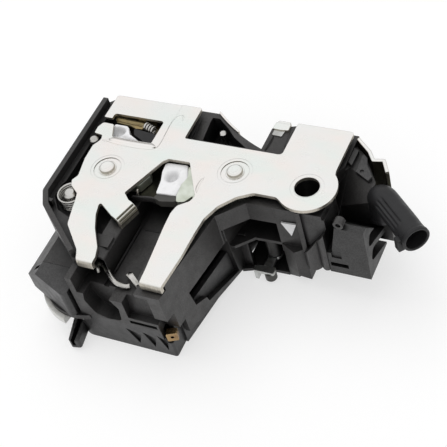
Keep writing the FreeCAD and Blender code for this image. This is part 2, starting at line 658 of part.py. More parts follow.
def fixing_boss():
    """Column under the flange with a pointed front foot, and a fluted web towards the connector."""
    foot = prism([(-10.8, -9.0), (-10.4, -10.2), (-4.2, -13.6), (-0.8, -10.8), (-0.8, 4.0), (-10.8, 4.0)],
                 BASE_FLOOR, -24.0)
    toe = prism_y([(-11, -44.0), (-3.8, -38.6), (0, -44.0), (0, -46), (-11, -46)], -15, 5)
    collar = rod((0, 0), BOSS_R, -26.0, -PLATE_T)
    neck = prism([(-1.4, -9.0), (-1.2, -11.4), (0.6, -11.0), (0.6, -8.4)], -25.0, -2.4)
    outline_front = prism_y([(-0.8, -25.2), (13.0, -5.6), (BOX_LEFT + 4.4, -5.6), (BOX_LEFT + 4.0, -28.6),
                             (8.0, -31.4), (-0.8, -34.0)], -16, -7.0)
    flutes = joined(rod((2.6, -9.4), 3.9, -35, -4), rod((9.0, -9.4), 3.9, -35, -4),
                    box((-0.8, BOX_LEFT + 4.4), (-10.4, -7.0), (-35, -4)))
    web = flutes.common(outline_front).cut(box((BOX_LEFT, 30), (BOX_FRONT - 1, 0), (-40, 0)))
    return joined(foot.cut(toe), collar, neck, web)


def boss_eye():
    """Small eye at the upper end of the web."""
    height = BOX_TOP + 2.0
    ring = rod_along((16.6, BOX_FRONT, height), (0, 1, 0), 2.0, 3.0)
    return ring.cut(rod_along((16.6, BOX_FRONT - 1, height), (0, 1, 0), 1.0, 5.0))


def drive_room():
    """Room under the channel for the motor, the worm and the wheel, with the worm's front bearing."""
    motor = box((WORM_X - MOTOR_WIDTH / 2 - 0.2, WORM_X + MOTOR_WIDTH / 2 + 0.2), (-50.4, -2.2),
                (HOUSING_FLOOR - 1, CHANNEL_FLOOR - 2.8))
    bearing = rod_along((WORM_X, -52.0, WHEEL_MID_Z), (0, 1, 0), SHAFT_R + PIVOT_CLEARANCE, 2.0)
    return [motor, bearing, rod(WHEEL_CENTRE, GEAR_ROOM_R, DRUM_TOP - 1, GEAR_ROOF)]


def notch_pocket():
    """Deep pocket with a curved rear wall, seen in the plate's rear notch."""
    return prism([(-53.4, 16.6), (-53.4, 29.6), (-50.2, 29.6, 1.0), (-44.4, 25.2), (-40.2, 21.2),
                  (-33.0, 16.6)],
                 -14.0, RIM_TOP + 1)


def notch_ramp():
    """The strip beside the pocket slopes down towards the front."""
    return prism_x([(14.4, -6.2), (27.0, RIM_TOP), (14.4, RIM_TOP)], -57.8, -53.4)


def right_block():
    """Cuts for the lowered top behind the connector and the slope before its pads, and the boot's shelf."""
    slope = prism_x([(0, -5.6), (-14.0, -16.0), (-14.0, 1), (0, 1)], -1.0, 20.0)
    slope.rotate(V(0, 0, 0), V(0, 0, 1), -33)
    slope.translate(V(10.8, 17.2, 0))
    top = joined(box((8.6, 40), (-20, 40), (-5.6, 1)), slope)
    shelf = box((BOX_LEFT, 29.0), (BOX_REAR, 14.6), (HOUSING_FLOOR, SHELF_Z))
    return top, shelf


def make_housing():
    top, shelf = right_block()
    body = joined(housing_body(), guard_wall(), left_shoulder())
    hollows = [lock_chamber(), striker_channel(), notch_pocket(), notch_ramp(),
               top] + front_bays() + drive_room()
    body = body.cut(hollows)
    body = joined(body, arm_skirt(), gear_skirt(), shelf, front_web())
    body = body.cut([arm_pocket(), terminal_recess(), boot_solid(BOOT_R + 0.05)] + arch_bay())
    body = joined(body, fixing_boss(), arch_floor())
    body = body.cut([rod((0, 0), BOSS_SCREW_R, BASE_FLOOR - 1, 0), rod((0, 0), BOSS_BORE_R, BOSS_BORE_END,
                                                                       0)])
    return body.removeSplitter()


def housing_blocks():
    """The x, y and z limits of the blocks that the moulding is kept as, cut in the planes of its own walls."""
    far = 200.0
    all_y, all_z = (-far, far), (-far, far)
    arm = (CHANNEL_RIGHT, ARM_RIGHT)
    bay = (ARM_RIGHT, BAY_RIGHT)
    before, behind = (-far, BAY_REAR), (BAY_REAR, far)
    return {
        "housing_left": ((-far, CHANNEL_LEFT), all_y, all_z),
        "housing_middle": ((CHANNEL_LEFT, CHANNEL_RIGHT), all_y, all_z),
        "housing_arm": (arm, before, (ARM_POCKET_TOP, far)),
        "housing_arm_foot": (arm, before, (-far, ARM_POCKET_TOP)),
        "housing_arch": (bay, before, (BAY_TOP, far)),
        "housing_shelf": (bay, before, (-far, BAY_TOP)),
        "housing_rear": ((CHANNEL_RIGHT, BAY_RIGHT), behind, all_z),
        "housing_boss": ((BAY_RIGHT, BOX_LEFT), all_y, all_z),
        "housing_block": ((BOX_LEFT, far), all_y, all_z),
    }


def make_notch_pin():
    """Bright pin that stands in the notch pocket."""
    floor, shoulder, top = -14.0, -6.4, -4.6
    return turned([(0, floor), (1.2, floor), (1.2, shoulder), (1.5, shoulder), (1.5, top - 0.4), (1.1, top),
                   (0, top)],
                  (-46.4, 23.4))


def make_arc_strip():
    """Upright steel strip behind the curved rear wall."""
    arc = Part.Arc(V(*ARC_START, 0), V(*ARC_MIDDLE, 0), V(*ARC_END, 0)).toShape().Curve
    centre = (arc.Center.x, arc.Center.y)
    ring = rod(centre, arc.Radius, -14.0, -3.0).cut(rod(centre, arc.Radius - 0.8, -15.0, 0))
    return ring.common(box((-51.4, -39.2), (20.0, HOUSING_REAR + 0.8), (-20, 0)))


def make_rear_clip():
    """Bright clip folded over the rear block beside the notch."""
    top = prism([(-25.4, 29.8), (-21.0, 29.6, 0.8), (-20.2, HOUSING_REAR), (-25.4, HOUSING_REAR)],
                RIM_TOP, RIM_TOP + 0.7)
    leg = box((-25.4, -20.2), (HOUSING_REAR, HOUSING_REAR + 0.8), (-8.0, RIM_TOP + 0.7))
    return joined(top, leg)


# Gear case cap, covers

def make_case_cap():
    """Front cap of the gear case, with a slot in its chamfer."""
    right = POST_LEFT - 1.5
    body = prism_y(gear_case_section(right), -63.0, SEAM_Y - 0.1)
    plan = prism([(HOUSING_LEFT - 0.7, SEAM_Y), (HOUSING_LEFT - 0.7, -51.4),
                  (HOUSING_LEFT + 3.3, -53.2, 2.0),
                  (right - 1.6, -61.4, 1.6), (right + 0.8, -58.6), (right + 0.8, SEAM_Y)],
                 HOUSING_FLOOR - 1, -10)
    clip_slot = box((HOUSING_LEFT + 4.3, HOUSING_LEFT + 7.3), (-51.6, -49.8), (-19.4, -10))
    behind = prism([(right - 2.2, SEAM_Y + 1), (right - 2.2, SEAM_Y), (right + 1.4, -51.4),
                    (right + 1.4, SEAM_Y + 1)],
                   HOUSING_FLOOR - 1, -10)
    return body.common(plan).cut([rod(WHEEL_CENTRE, GEAR_ROOM_R, HOUSING_FLOOR - 1, GEAR_ROOF), clip_slot,
                                  behind])


def base_plan(inset=0.0):
    """The base cover's plan outline, its front left corner a large round."""
    left, front, right, rear = -82.5 + inset, BASE_FRONT + inset, -38.4 - inset, 14.0 - inset
    gap = WALL + 0.3 + inset
    return [(left, rear, 3.0), (left, front, 6.0 - inset), (right, front, 1.0), (right, -50.8 + inset),
            (arm_x(-50.8) - gap, -50.8 + inset), (arm_x(-9.0) - gap, -9.0), (-29.4 - inset, 2.0 + inset),
            (-11.0 - inset, 2.0 + inset), (-11.0 - inset, rear, 3.0)]


def make_base_cover():
    """Shallow tray that closes the drive room; posts inside take the screws and saddles hold the motor."""
    cover = prism(base_plan(), BASE_FLOOR, COVER_TOP).cut(prism(base_plan(WALL), BASE_FLOOR + WALL, 0))
    saddles = [box((WORM_X - 6.0, WORM_X + 6.0), (y, y + 2.0), (BASE_FLOOR + 1,
                                                                WHEEL_MID_Z - MOTOR_THICK / 2 - 0.1))
               for y in (-25.0, -12.0)]
    posts = [rod(centre, SCREW_HEAD_R + 1.0, BASE_FLOOR, COVER_TOP) for centre in SCREWS]
    cover = joined(cover, *(saddles + posts))
    for low, high in ((-58.4, -52.0), (-51.0, -45.6), (-44.6, -40.4)):
        point = (low + high) / 2 + 1.0
        cover = cover.cut(prism_y([(low, -32.4), (high, -34.6), (point, -41.0)], BASE_FRONT - 1,
                                  BASE_FRONT + 1))
    cover = cover.cut([terminal_recess()] + [screw_space(centre) for centre in SCREWS])
    return cover


def screw_space(centre):
    """Counterbore and hole for a cover screw."""
    return turned([(0, BASE_FLOOR - 1), (SCREW_HEAD_R + 0.2, BASE_FLOOR - 1),
                   (SCREW_HEAD_R + 0.2, BASE_FLOOR + SCREW_HEAD_H),
                   (SCREW_R, BASE_FLOOR + SCREW_HEAD_H), (SCREW_R, SCREW_END), (0, SCREW_END)], centre)


def make_screw(centre):
    """Pan head screw from below, with a cross recess."""
    low = BASE_FLOOR + 0.2
    body = turned([(0, low), (SCREW_HEAD_R - 0.6, low), (SCREW_HEAD_R, low + 0.6),
                   (SCREW_HEAD_R, BASE_FLOOR + SCREW_HEAD_H),
                   (SCREW_R, BASE_FLOOR + SCREW_HEAD_H), (SCREW_R, SCREW_END), (0, SCREW_END)], centre)
    x, y = centre
    for width, depth in ((3.6, 0.7), (0.7, 3.6)):
        body = body.cut(box((x - width / 2, x + width / 2), (y - depth / 2, y + depth / 2),
                            (low - 1, low + 0.9)))
    return body


def make_base_prong():
    """Channel shaped prong that points to the front."""
    prong = prism([(-85.4, -44.0), (-85.4, -55.0), (-82.0, -67.0, 1.0), (-77.6, -66.2, 1.0), (-79.6, -54.0),
                   (-79.6, -50.0),
                   (-82.6, -44.0)], -42.6, -38.2)
    prong = prong.cut(prism(base_plan(), BASE_FLOOR, 0))
    channel = prism([(-83.8, -54.6, 0.8), (-80.6, -68.4), (-79.2, -68.0), (-81.2, -54.2, 0.8)], -41.4, -38)
    return prong.cut(channel)


def make_gear_cover():
    """Pale disc under the gear case."""
    disc = turned([(0, DRUM_TOP - DRUM_T), (DRUM_R - 1.2, DRUM_TOP - DRUM_T),
                   (DRUM_R, DRUM_TOP - DRUM_T + 0.8), (DRUM_R, DRUM_TOP),
                   (0, DRUM_TOP)], WHEEL_CENTRE)
    return disc.cut(prism(base_plan(-GAP), BASE_FLOOR, HOUSING_FLOOR))


# Drive

def make_motor():
    """Flat-sided motor can, bored for its shaft."""
    left, right = WORM_X - MOTOR_WIDTH / 2, WORM_X + MOTOR_WIDTH / 2
    low, high = WHEEL_MID_Z - MOTOR_THICK / 2, WHEEL_MID_Z + MOTOR_THICK / 2
    can = prism_y([(left, low, 4.0), (right, low, 4.0), (right, high, 4.0), (left, high, 4.0)],
                  MOTOR_FRONT_Y,
                  MOTOR_FRONT_Y + MOTOR_LENGTH)
    nose = rod_along((WORM_X, MOTOR_FRONT_Y - 1.6, WHEEL_MID_Z), (0, 1, 0), 3.4, 2.0)
    bore = rod_along((WORM_X, MOTOR_FRONT_Y - 3, WHEEL_MID_Z), (0, 1, 0), SHAFT_R + PIVOT_CLEARANCE,
                     MOTOR_LENGTH + 6)
    return joined(can, nose).cut(bore)


def make_worm():
    """Worm with its shaft, lying along Y."""
    pitch = 2 * math.pi * (WHEEL_R - TOOTH_DEPTH / 2) / WHEEL_TEETH
    thread = coil((0, 0), WORM_CORE_R, WORM_THREAD_R, 0, pitch, WORM_TURNS)
    core = rod((0, 0), WORM_CORE_R, -1.0, pitch * WORM_TURNS + 1.0)
    shaft = rod((0, 0), SHAFT_R, SHAFT_FRONT_Y - WHEEL_CENTRE[1] + pitch * WORM_TURNS / 2,
                MOTOR_FRONT_Y + MOTOR_LENGTH - WHEEL_CENTRE[1] + pitch * WORM_TURNS / 2)
    worm = joined(core, thread, shaft)
    worm.rotate(V(0, 0, 0), V(1, 0, 0), -90)
    worm.translate(V(WORM_X, WHEEL_CENTRE[1] - pitch * WORM_TURNS / 2, WHEEL_MID_Z))
    return worm


def make_worm_wheel():
    """Toothed wheel with a raised hub and an off-centre crank pin."""
    step = 360.0 / WHEEL_TEETH
    rim = []
    for i in range(WHEEL_TEETH):
        for share, radius in ((-0.30, WHEEL_R - TOOTH_DEPTH), (-0.14, WHEEL_R), (0.14, WHEEL_R),
                              (0.30, WHEEL_R - TOOTH_DEPTH)):
            rim.append(polar((0, 0), radius, (i + 0.5 + share) * step))
    wheel = prism(rim, WHEEL_BOTTOM, WHEEL_TOP)
    recess = rod((0, 0), 10.4, WHEEL_TOP - 1.2, WHEEL_TOP + 1).cut(rod((0, 0), 4.6, WHEEL_TOP - 2,
                                                                       WHEEL_TOP + 2))
    pin = rod((7.4, 0), 1.4, WHEEL_TOP - 1.4, WHEEL_TOP + 0.8)
    wheel = joined(wheel.cut(recess), pin).cut(rod((0, 0), AXLE_R + PIVOT_CLEARANCE, WHEEL_BOTTOM - 1,
                                                   WHEEL_TOP + 1))
    wheel.translate(V(*WHEEL_CENTRE, 0))
    return wheel


def make_wheel_axle():
    return turned([(0, HOUSING_FLOOR), (AXLE_R + 1.4, HOUSING_FLOOR), (AXLE_R + 1.4, WHEEL_BOTTOM - GAP),
                   (AXLE_R, WHEEL_BOTTOM - GAP),
                   (AXLE_R, GEAR_ROOF), (0, GEAR_ROOF)], WHEEL_CENTRE)


# Connector box and its surroundings

def port(start):
    """A slot in the box's end with a round inner end, opening up the slope."""
    length = 24.0
    blank = prism([(0, -PORT_W / 2, 1.9), (length, -PORT_W / 2), (length, PORT_W / 2), (0, PORT_W / 2, 1.9)],
                  BOX_RIGHT - PORT_DEPTH, BOX_RIGHT + 1)
    blank.rotate(V(0, 0, 0), V(0, 0, 1), PORT_SLOPE_DEG)
    blank.rotate(V(0, 0, 0), V(1, 1, 1), 120)
    blank.translate(V(0, start[0], start[1]))
    return blank


def make_connector_box():
    """Sloping box with two slots in its right end and shallow marks on its front."""
    section = [(BOX_FRONT, BOX_FLOOR), (BOX_FRONT, BOX_TOP), (BOX_FRONT + 3.0, BOX_TOP),
               (BOX_REAR, BOX_REAR_TOP),
               (BOX_REAR, BOX_FLOOR)]
    body = prism_x(section, BOX_LEFT, BOX_RIGHT)
    corner = prism_y([(BOX_LEFT - 1, -20.0), (BOX_LEFT - 1, 0), (14.8, 0), (14.8, BOX_TOP), (11.6, -20.0)],
                     BOX_FRONT - 1, -4.0)
    window = box((11.4, 15.4), (BOX_FRONT - 1, BOX_FRONT + 0.6), (-22.4, -18.0))
    slit = box((10.4, 17.6), (BOX_FRONT - 1, BOX_FRONT + 2.4), (-27.6, -25.4))
    return body.cut([corner, window, slit] + [port(start) for start in PORT_STARTS])


def make_blade(start):
    """Flat connector terminal standing in a slot."""
    root = BOX_RIGHT - PORT_DEPTH
    return box((root, root + BLADE_LENGTH), (start[0] + 1.6, start[0] + 4.8),
               (start[1] - 1.2, start[1] - 1.2 + BLADE_T))


def make_top_bracket():
    """Two flat pads on the right block: a strip, and an L with a round mark."""
    strip = prism([(8.8, 26.4), (10.9, 25.4, 0.4), (10.8, 17.2, 0.4), (8.8, 19.0)], -5.6, -4.0)
    ell = prism([(13.1, 24.2, 0.4), (15.4, 22.2, 0.4), (16.6, 18.9), (20.2, 13.6), (19.4, 11.4),
                 (13.4, 14.8, 0.4)], -5.6, -4.0)
    return strip, ell.cut(rod((15.6, 15.4), 0.8, -4.5, -3.5))


def boot_path():
    """The boot's middle line: up from the shelf, round the elbow, and level to the mouth."""
    turn = math.radians(BOOT_HEADING_DEG)
    ahead = V(math.cos(turn), math.sin(turn), 0)
    corner = V(BOOT_ELBOW[0], BOOT_ELBOW[1], BOOT_Z)
    rise_end = corner - V(0, 0, BOOT_BEND_R)
    level_start = corner + ahead * BOOT_BEND_R
    lean = BOOT_BEND_R * (1 - math.sqrt(0.5))
    middle = corner + ahead * lean - V(0, 0, lean)
    foot = V(BOOT_ELBOW[0], BOOT_ELBOW[1], SHELF_Z)
    return [Part.LineSegment(foot, rise_end).toShape(), Part.Arc(rise_end, middle, level_start).toShape(),
            Part.LineSegment(level_start, corner + ahead * BOOT_LENGTH).toShape()], ahead


def boot_solid(radius):
    return swept(boot_path()[0], radius)


def make_elbow_boot():
    """Rubber elbow with a bead at its mouth, two grooves along its side and a small latch tab."""
    edges, ahead = boot_path()
    mouth = edges[-1].valueAt(edges[-1].LastParameter)
    boot = swept(edges, BOOT_R)
    bead = rod_along(mouth - ahead * 1.6, ahead, BOOT_R + 0.25, 1.6)
    side = V(ahead.y, -ahead.x, 0)
    tab_middle = mouth - ahead * 4.4 + side * (BOOT_R + 0.2)
    tab = Part.makeBox(3.0, 2.4, 3.4, V(-1.5, -1.2, -1.7))
    tab.rotate(V(0, 0, 0), V(0, 0, 1), BOOT_HEADING_DEG)
    tab.translate(tab_middle)
    boot = joined(boot, bead, tab).cut(swept(edges, BOOT_BORE_R))
    for lift in (1.1, 3.3):
        groove = Part.makeBox(10.0, 2.0, 0.7, V(0, -1.0, -0.35))
        groove.rotate(V(0, 0, 0), V(0, 0, 1), BOOT_HEADING_DEG)
        reach = math.sqrt(BOOT_R ** 2 - lift ** 2)
        groove.translate(mouth - ahead * 19.0 + side * (reach + 0.55) + V(0, 0, lift))
        boot = boot.cut(groove)
    return boot


def make_boot_spigot():
    """Hollow spigot on the shelf that the boot's foot is pushed over."""
    low = SHELF_Z
    return turned([(3.0, low), (BOOT_BORE_R, low), (BOOT_BORE_R, low + 4.2), (3.9, low + 4.8),
                   (3.0, low + 4.8)], BOOT_ELBOW)


# Small pieces at the front and under the arch

def make_buffer_wire():
    """Bright wire lying across the front of the channel."""
    radius = 0.95
    points = [(-72.6, -46.0), (-70.4, -44.8), (-66.0, -47.6), (-60.8, -51.0), (-55.2, -51.4)]
    start, first, second, third, end = [V(x, y, CHANNEL_FLOOR + radius) for x, y in points]
    return swept([Part.Arc(start, first, second).toShape(), Part.Arc(second, third, end).toShape()], radius)


def make_wire_tab():
    """Bronze tab that holds the wire's right end."""
    foot = prism([(-57.2, -47.8), (-56.4, -46.0), (-50.2, -49.8), (-50.9, -51.4)], CHANNEL_FLOOR,
                 CHANNEL_FLOOR + 1.0)
    lip = prism([(-57.2, -47.8), (-56.8, -46.9), (-50.5, -50.6), (-50.9, -51.4)], CHANNEL_FLOOR,
                CHANNEL_FLOOR + 2.6)
    return joined(foot, lip)


def make_brass_terminal():
    """Square brass terminal with a hole, its face turned towards the front right corner."""
    block = prism_y([(-2.2, -33.9, 0.6), (2.2, -33.9, 0.6), (2.2, -29.5, 0.6), (-2.2, -29.5, 0.6)], -1.4,
                    1.4)
    block = block.cut(rod_along((0, -2.4, -31.7), (0, 1, 0), 0.75, 3.0))
    block.rotate(V(0, 0, 0), V(0, 0, 1), 25)
    block.translate(V(-38.4, -56.5, 0))
    return block


def make_cable_lever():
    """Lever under the arch: an eye on its pin, a neck, and a cross head with a prong bent down."""
    x, y = LEVER_AXIS
    low, high = -39.2, -37.8
    eye = rod(LEVER_AXIS, 3.2, low, high)
    neck = prism([(x - 1.6, y), (x - 2.0, -12.6), (x + 2.0, -12.6), (x + 1.6, y)], low, high)
    head = prism([(-23.4, -15.8, 0.6), (-14.6, -15.8, 0.6), (-14.6, -12.4, 0.6), (-23.4, -12.9, 0.6)], low,
                 high)
    prong = box((-23.4, -22.0), (-15.4, -13.2), (BASE_FLOOR + 0.3, high))
    return joined(eye, neck, head, prong).cut(rod(LEVER_AXIS, 1.5 + PIVOT_CLEARANCE, -50, 0))


def make_lever_stud():
    """Pin of the cable lever, hanging from the shelf."""
    return turned([(0, -25.2), (3.0, -25.2), (3.0, -37.4), (1.5, -37.4), (1.5, -39.6), (2.4, -39.6),
                   (2.4, -40.6), (0, -40.6)], LEVER_AXIS)


def make_cable_nipple():
    """Dark rubber nipple under the lever's head."""
    return turned([(0, -43.4), (2.0, -43.4), (2.4, -42.8), (2.4, -39.2), (0, -39.2)], (-17.0, -13.9))


def make_earth_tab():
    """Bright pointed tab against the boss, under the flange."""
    return prism_y([(-8.3, -10.6), (-2.0, -10.2), (-5.0, -17.4)], -10.8, -10.0)


PIECES = [
    ("latch_plate", make_latch_plate), ("plate_corner", make_plate_corner), ("back_plate", make_back_plate),
    ("side_strap", make_side_strap),
    ("claw", make_claw), ("claw_arm", make_claw_arm), ("claw_bumper", make_claw_bumper), ("pawl", make_pawl),
    ("lever_spring", make_lever_spring), ("spring_post", make_spring_post), ("stop_pin", make_stop_pin),
    ("release_lever", make_release_lever), ("lever_pin", make_lever_pin), ("lock_slider", make_lock_slider),
    ("slider_guide", make_slider_guide), ("window_spring", make_window_spring),
    ("notch_pin", make_notch_pin), ("arc_strip", make_arc_strip), ("rear_clip", make_rear_clip),
    ("case_cap", make_case_cap),
    ("base_cover", make_base_cover), ("base_prong", make_base_prong), ("gear_cover", make_gear_cover),
    ("motor", make_motor),
    ("worm", make_worm), ("worm_wheel", make_worm_wheel), ("wheel_axle", make_wheel_axle),
    ("connector_box", make_connector_box),
    ("elbow_boot", make_elbow_boot), ("boot_spigot", make_boot_spigot), ("buffer_wire", make_buffer_wire),
    ("wire_tab", make_wire_tab), ("brass_terminal", make_brass_terminal), ("cable_lever", make_cable_lever),
    ("lever_stud", make_lever_stud), ("cable_nipple", make_cable_nipple), ("earth_tab", make_earth_tab),
    ("boss_eye", boss_eye),
]


def main():
    os.makedirs("parts", exist_ok=True)
    save("rivet_left", make_rivet(PAWL_PIVOT))
    save("rivet_right", make_rivet(CLAW_PIVOT))
    save("pawl_spring", make_pivot_spring(PAWL_PIVOT))
    save("claw_spring", make_pivot_spring(CLAW_PIVOT))
    save("terminal_blades", *[make_blade(start) for start in PORT_STARTS])
    save("top_bracket", *make_top_bracket())
    save("cover_screws", *[make_screw(centre) for centre in SCREWS])
    housing = make_housing()
    for name, limits in housing_blocks().items():
        save(name, housing.common(box(*limits)))
    for name, make in PIECES:
        save(name, make())


main()
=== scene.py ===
"""Looks of the door latch actuator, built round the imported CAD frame.

Lengths are metres in the part's own frame: the origin is the middle of the fixing hole on the plate's
upper face, +X runs towards the connector, +Y away from the mouth and +Z out of the door edge.
"""
import json
import logging
import math
from collections.abc import Callable, Sequence
from dataclasses import dataclass
from enum import Enum

import bmesh
import bpy
import numpy as np
from mathutils import Matrix


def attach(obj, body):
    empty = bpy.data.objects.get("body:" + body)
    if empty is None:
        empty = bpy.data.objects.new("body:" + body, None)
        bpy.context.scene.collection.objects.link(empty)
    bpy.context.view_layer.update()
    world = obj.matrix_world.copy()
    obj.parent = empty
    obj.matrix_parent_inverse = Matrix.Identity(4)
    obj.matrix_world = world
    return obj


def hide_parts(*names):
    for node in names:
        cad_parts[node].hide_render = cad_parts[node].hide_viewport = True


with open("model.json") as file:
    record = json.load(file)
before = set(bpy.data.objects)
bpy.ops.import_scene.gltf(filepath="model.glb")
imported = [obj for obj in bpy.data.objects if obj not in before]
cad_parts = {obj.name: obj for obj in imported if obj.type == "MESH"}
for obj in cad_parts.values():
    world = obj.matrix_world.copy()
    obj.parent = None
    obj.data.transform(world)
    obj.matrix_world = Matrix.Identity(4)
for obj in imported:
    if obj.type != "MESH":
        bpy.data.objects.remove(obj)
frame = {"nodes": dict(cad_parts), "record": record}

LOG = logging.getLogger("door_latch")
MM = 0.001
MERGE_DISTANCE = 1e-6
EDGE_SAMPLES = 6
SKY_SAMPLES = 5
Socket = bpy.types.NodeSocket
Triple = tuple[float, float, float]
Pair = tuple[float, float]
Corners = tuple[Triple, ...]
Plan = tuple[Pair, ...]
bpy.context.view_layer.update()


class Body(Enum):
    """The moving groups that new pieces ride on."""

    CASE = "case"
    CLAW = "claw_body"
    SLIDER = "lock_slider_body"
    LEVER = "release_lever_body"


class Slot(Enum):
    """The record's material slots that new pieces take."""

    ZINC = "zinc_steel"
    BLACK = "black_plastic"
    GREY = "grey_black_plastic"
    CONNECTOR = "connector_plastic"
    OLIVE = "olive_steel"
    SPRING = "spring_steel"
    LOCK = "lock_steel"
    WHITE = "white_coat"
    BUMPER = "bumper_rubber"
    BRONZE = "bronze_chromate"
    BRASS = "brass"
    BOOT = "boot_rubber"
    NYLON = "cover_white"
    MOTOR = "motor_steel"
    LEVER = "lever_steel"


class Graph:
    """The nodes and links of a shader."""

    def __init__(self, tree: bpy.types.NodeTree) -> None:
        """Take up the nodes and links of a tree."""
        self.nodes, self.links = tree.nodes, tree.links

    def join(self, source: object, target: Socket) -> None:
        """Feed a socket from another one or set it to a plain value.

        Args:
            source: an output socket, a number or a tuple.
            target: the input socket.
        """
        if isinstance(source, Socket):
            self.links.new(source, target)
        else:
            target.default_value = source

    def feed(self, node: bpy.types.Node, **inputs: object) -> bpy.types.Node:
        """Feed a node's inputs.

        Args:
            node: the node.
            inputs: a socket or a plain value for each input, spaces written as underscores.
        Returns:
            The node.
        """
        for name, source in inputs.items():
            self.join(source, node.inputs[name.replace("_", " ")])
        return node

    def node(self, kind: str, **inputs: object) -> bpy.types.Node:
        """Add a node of that kind, named without ShaderNode in front, and feed its inputs."""
        return self.feed(self.nodes.new("ShaderNode" + kind), **inputs)


class Bench(Graph):
    """A material's node tree, with short ways to add nodes and join them."""

    def __init__(self, name: str) -> None:
        """Start a material with its shader and its Object coordinates.

        Args:
            name: the material's name.
        """
        self.material = bpy.data.materials.new(name)
        self.material.use_nodes = True
        super().__init__(self.material.node_tree)
        self.shader = self.nodes["Principled BSDF"]
        self.place = self.node("TexCoord").outputs["Object"]

    def stretched(self, scale: Triple) -> Socket:
        """Object coordinates scaled along X, Y and Z."""
        return self.node("Mapping", Scale=scale, Vector=self.place).outputs["Vector"]

    def noise(self, per_metre: float, detail: float = 2.0, at: Socket | None = None) -> Socket:
        """Soft random pattern about one half, with that many blobs to the metre and finer layers in them."""
        place = self.place if at is None else at
        return self.node("TexNoise", Scale=per_metre, Detail=detail, Vector=place).outputs["Fac"]

    def calc(self, operation: str, first: object, second: object = 0.0, clamp: bool = False) -> Socket:
        """One arithmetic step.

        Args:
            operation: Blender's name for it.
            first: a socket or a number.
            second: a socket or a number.
            clamp: whether the result is held between 0 and 1.
        Returns:
            The result.
        """
        node = self.node("Math")
        node.operation, node.use_clamp = operation, clamp
        self.join(first, node.inputs[0])
        self.join(second, node.inputs[1])
        return node.outputs[0]

    def spread(self, value: Socket, low: float, high: float, start: float = 0.3, end: float = 0.7) -> Socket:
        """Map a pattern from start..end to low..high, held at both ends.

        Args:
            value: the pattern.
            low: the result at start.
            high: the result at end.
            start: where the map begins.
            end: where the map ends.
        Returns:
            The mapped value.
        """
        node = self.node("MapRange", Value=value, From_Min=start, From_Max=end, To_Min=low, To_Max=high)
        return node.outputs["Result"]

    def blend(self, share: object, first: object, second: object) -> Socket:
        """A mix of two colours.

        Args:
            share: 0 for the first colour, 1 for the second.
            first: a socket or an (r, g, b) tuple.
            second: a socket or an (r, g, b) tuple.
        Returns:
            The mixed colour.
        """
        node = self.node("Mix")
        node.data_type = "RGBA"
        self.join(share, node.inputs[0])
        for colour, index in ((first, 6), (second, 7)):
            self.join(colour if isinstance(colour, Socket) else (*colour, 1.0), node.inputs[index])
        return node.outputs[2]

    def softened(self, radius: float) -> Socket:
        """The surface's normal with edges rounded off.

        Args:
            radius: how far in from the edge the rounding reaches, in metres.
        Returns:
            The normal.
        """
        node = self.node("Bevel", Radius=radius)
        node.samples = EDGE_SAMPLES
        return node.outputs["Normal"]

    def edges(self, rounded: Socket, gain: float) -> Socket:
        """1 along edges and 0 on flats: one less the cosine between the rounded and the plain normal.

        Args:
            rounded: the output of softened.
            gain: how strongly the difference counts.
        Returns:
            The mask.
        """
        node = self.node("VectorMath")
        node.operation = "DOT_PRODUCT"
        geometry = self.node("NewGeometry")
        self.links.new(rounded, node.inputs[0])
        self.links.new(geometry.outputs["True Normal"], node.inputs[1])
        return self.calc("MULTIPLY", self.calc("SUBTRACT", 1.0, node.outputs["Value"]), gain, clamp=True)

    def painted_shade_mask(self, reach: float, low: float, high: float) -> Socket:
        """Mask for painted shade: 1 in the open, falling to 0 in narrow hollows, where shade is painted in.

        Args:
            reach: how far off a wall still counts, in metres.
            low: the open share of the sky that gives 0.
            high: the open share that gives 1.
        Returns:
            The mask.
        """
        node = self.node("AmbientOcclusion", Distance=reach)
        node.samples = SKY_SAMPLES
        return self.spread(node.outputs["AO"], 0.0, 1.0, low, high)

    def upright(self) -> Socket:
        """1 on faces that look up or down the part's Z axis, 0 on its walls."""
        node = self.node("SeparateXYZ", Vector=self.node("TexCoord").outputs["Normal"])
        return self.spread(self.calc("ABSOLUTE", node.outputs["Z"]), 0.0, 1.0, 0.5, 0.9)

    def bump(self, height: Socket, depth: float, under: Socket | None = None) -> Socket:
        """A fine relief.

        Args:
            height: pattern from 0 to 1.
            depth: its height in metres.
            under: the normal it is laid on.
        Returns:
            The new normal.
        """
        node = self.node("Bump", Strength=1.0, Distance=depth, Height=height)
        if under is not None:
            self.links.new(under, node.inputs["Normal"])
        return node.outputs["Normal"]

    def finish(self, colour: object, roughness: object, normal: Socket, **constants: float
               ) -> bpy.types.Material:
        """Join the worked out looks to the shader.

        Args:
            colour: socket or (r, g, b, 1).
            roughness: socket or number.
            normal: the surface relief.
            constants: plain values for other sockets, spaces written as underscores.
        Returns:
            The finished material.
        """
        self.feed(self.shader, Base_Color=colour, Roughness=roughness, Normal=normal, **constants)
        return self.material


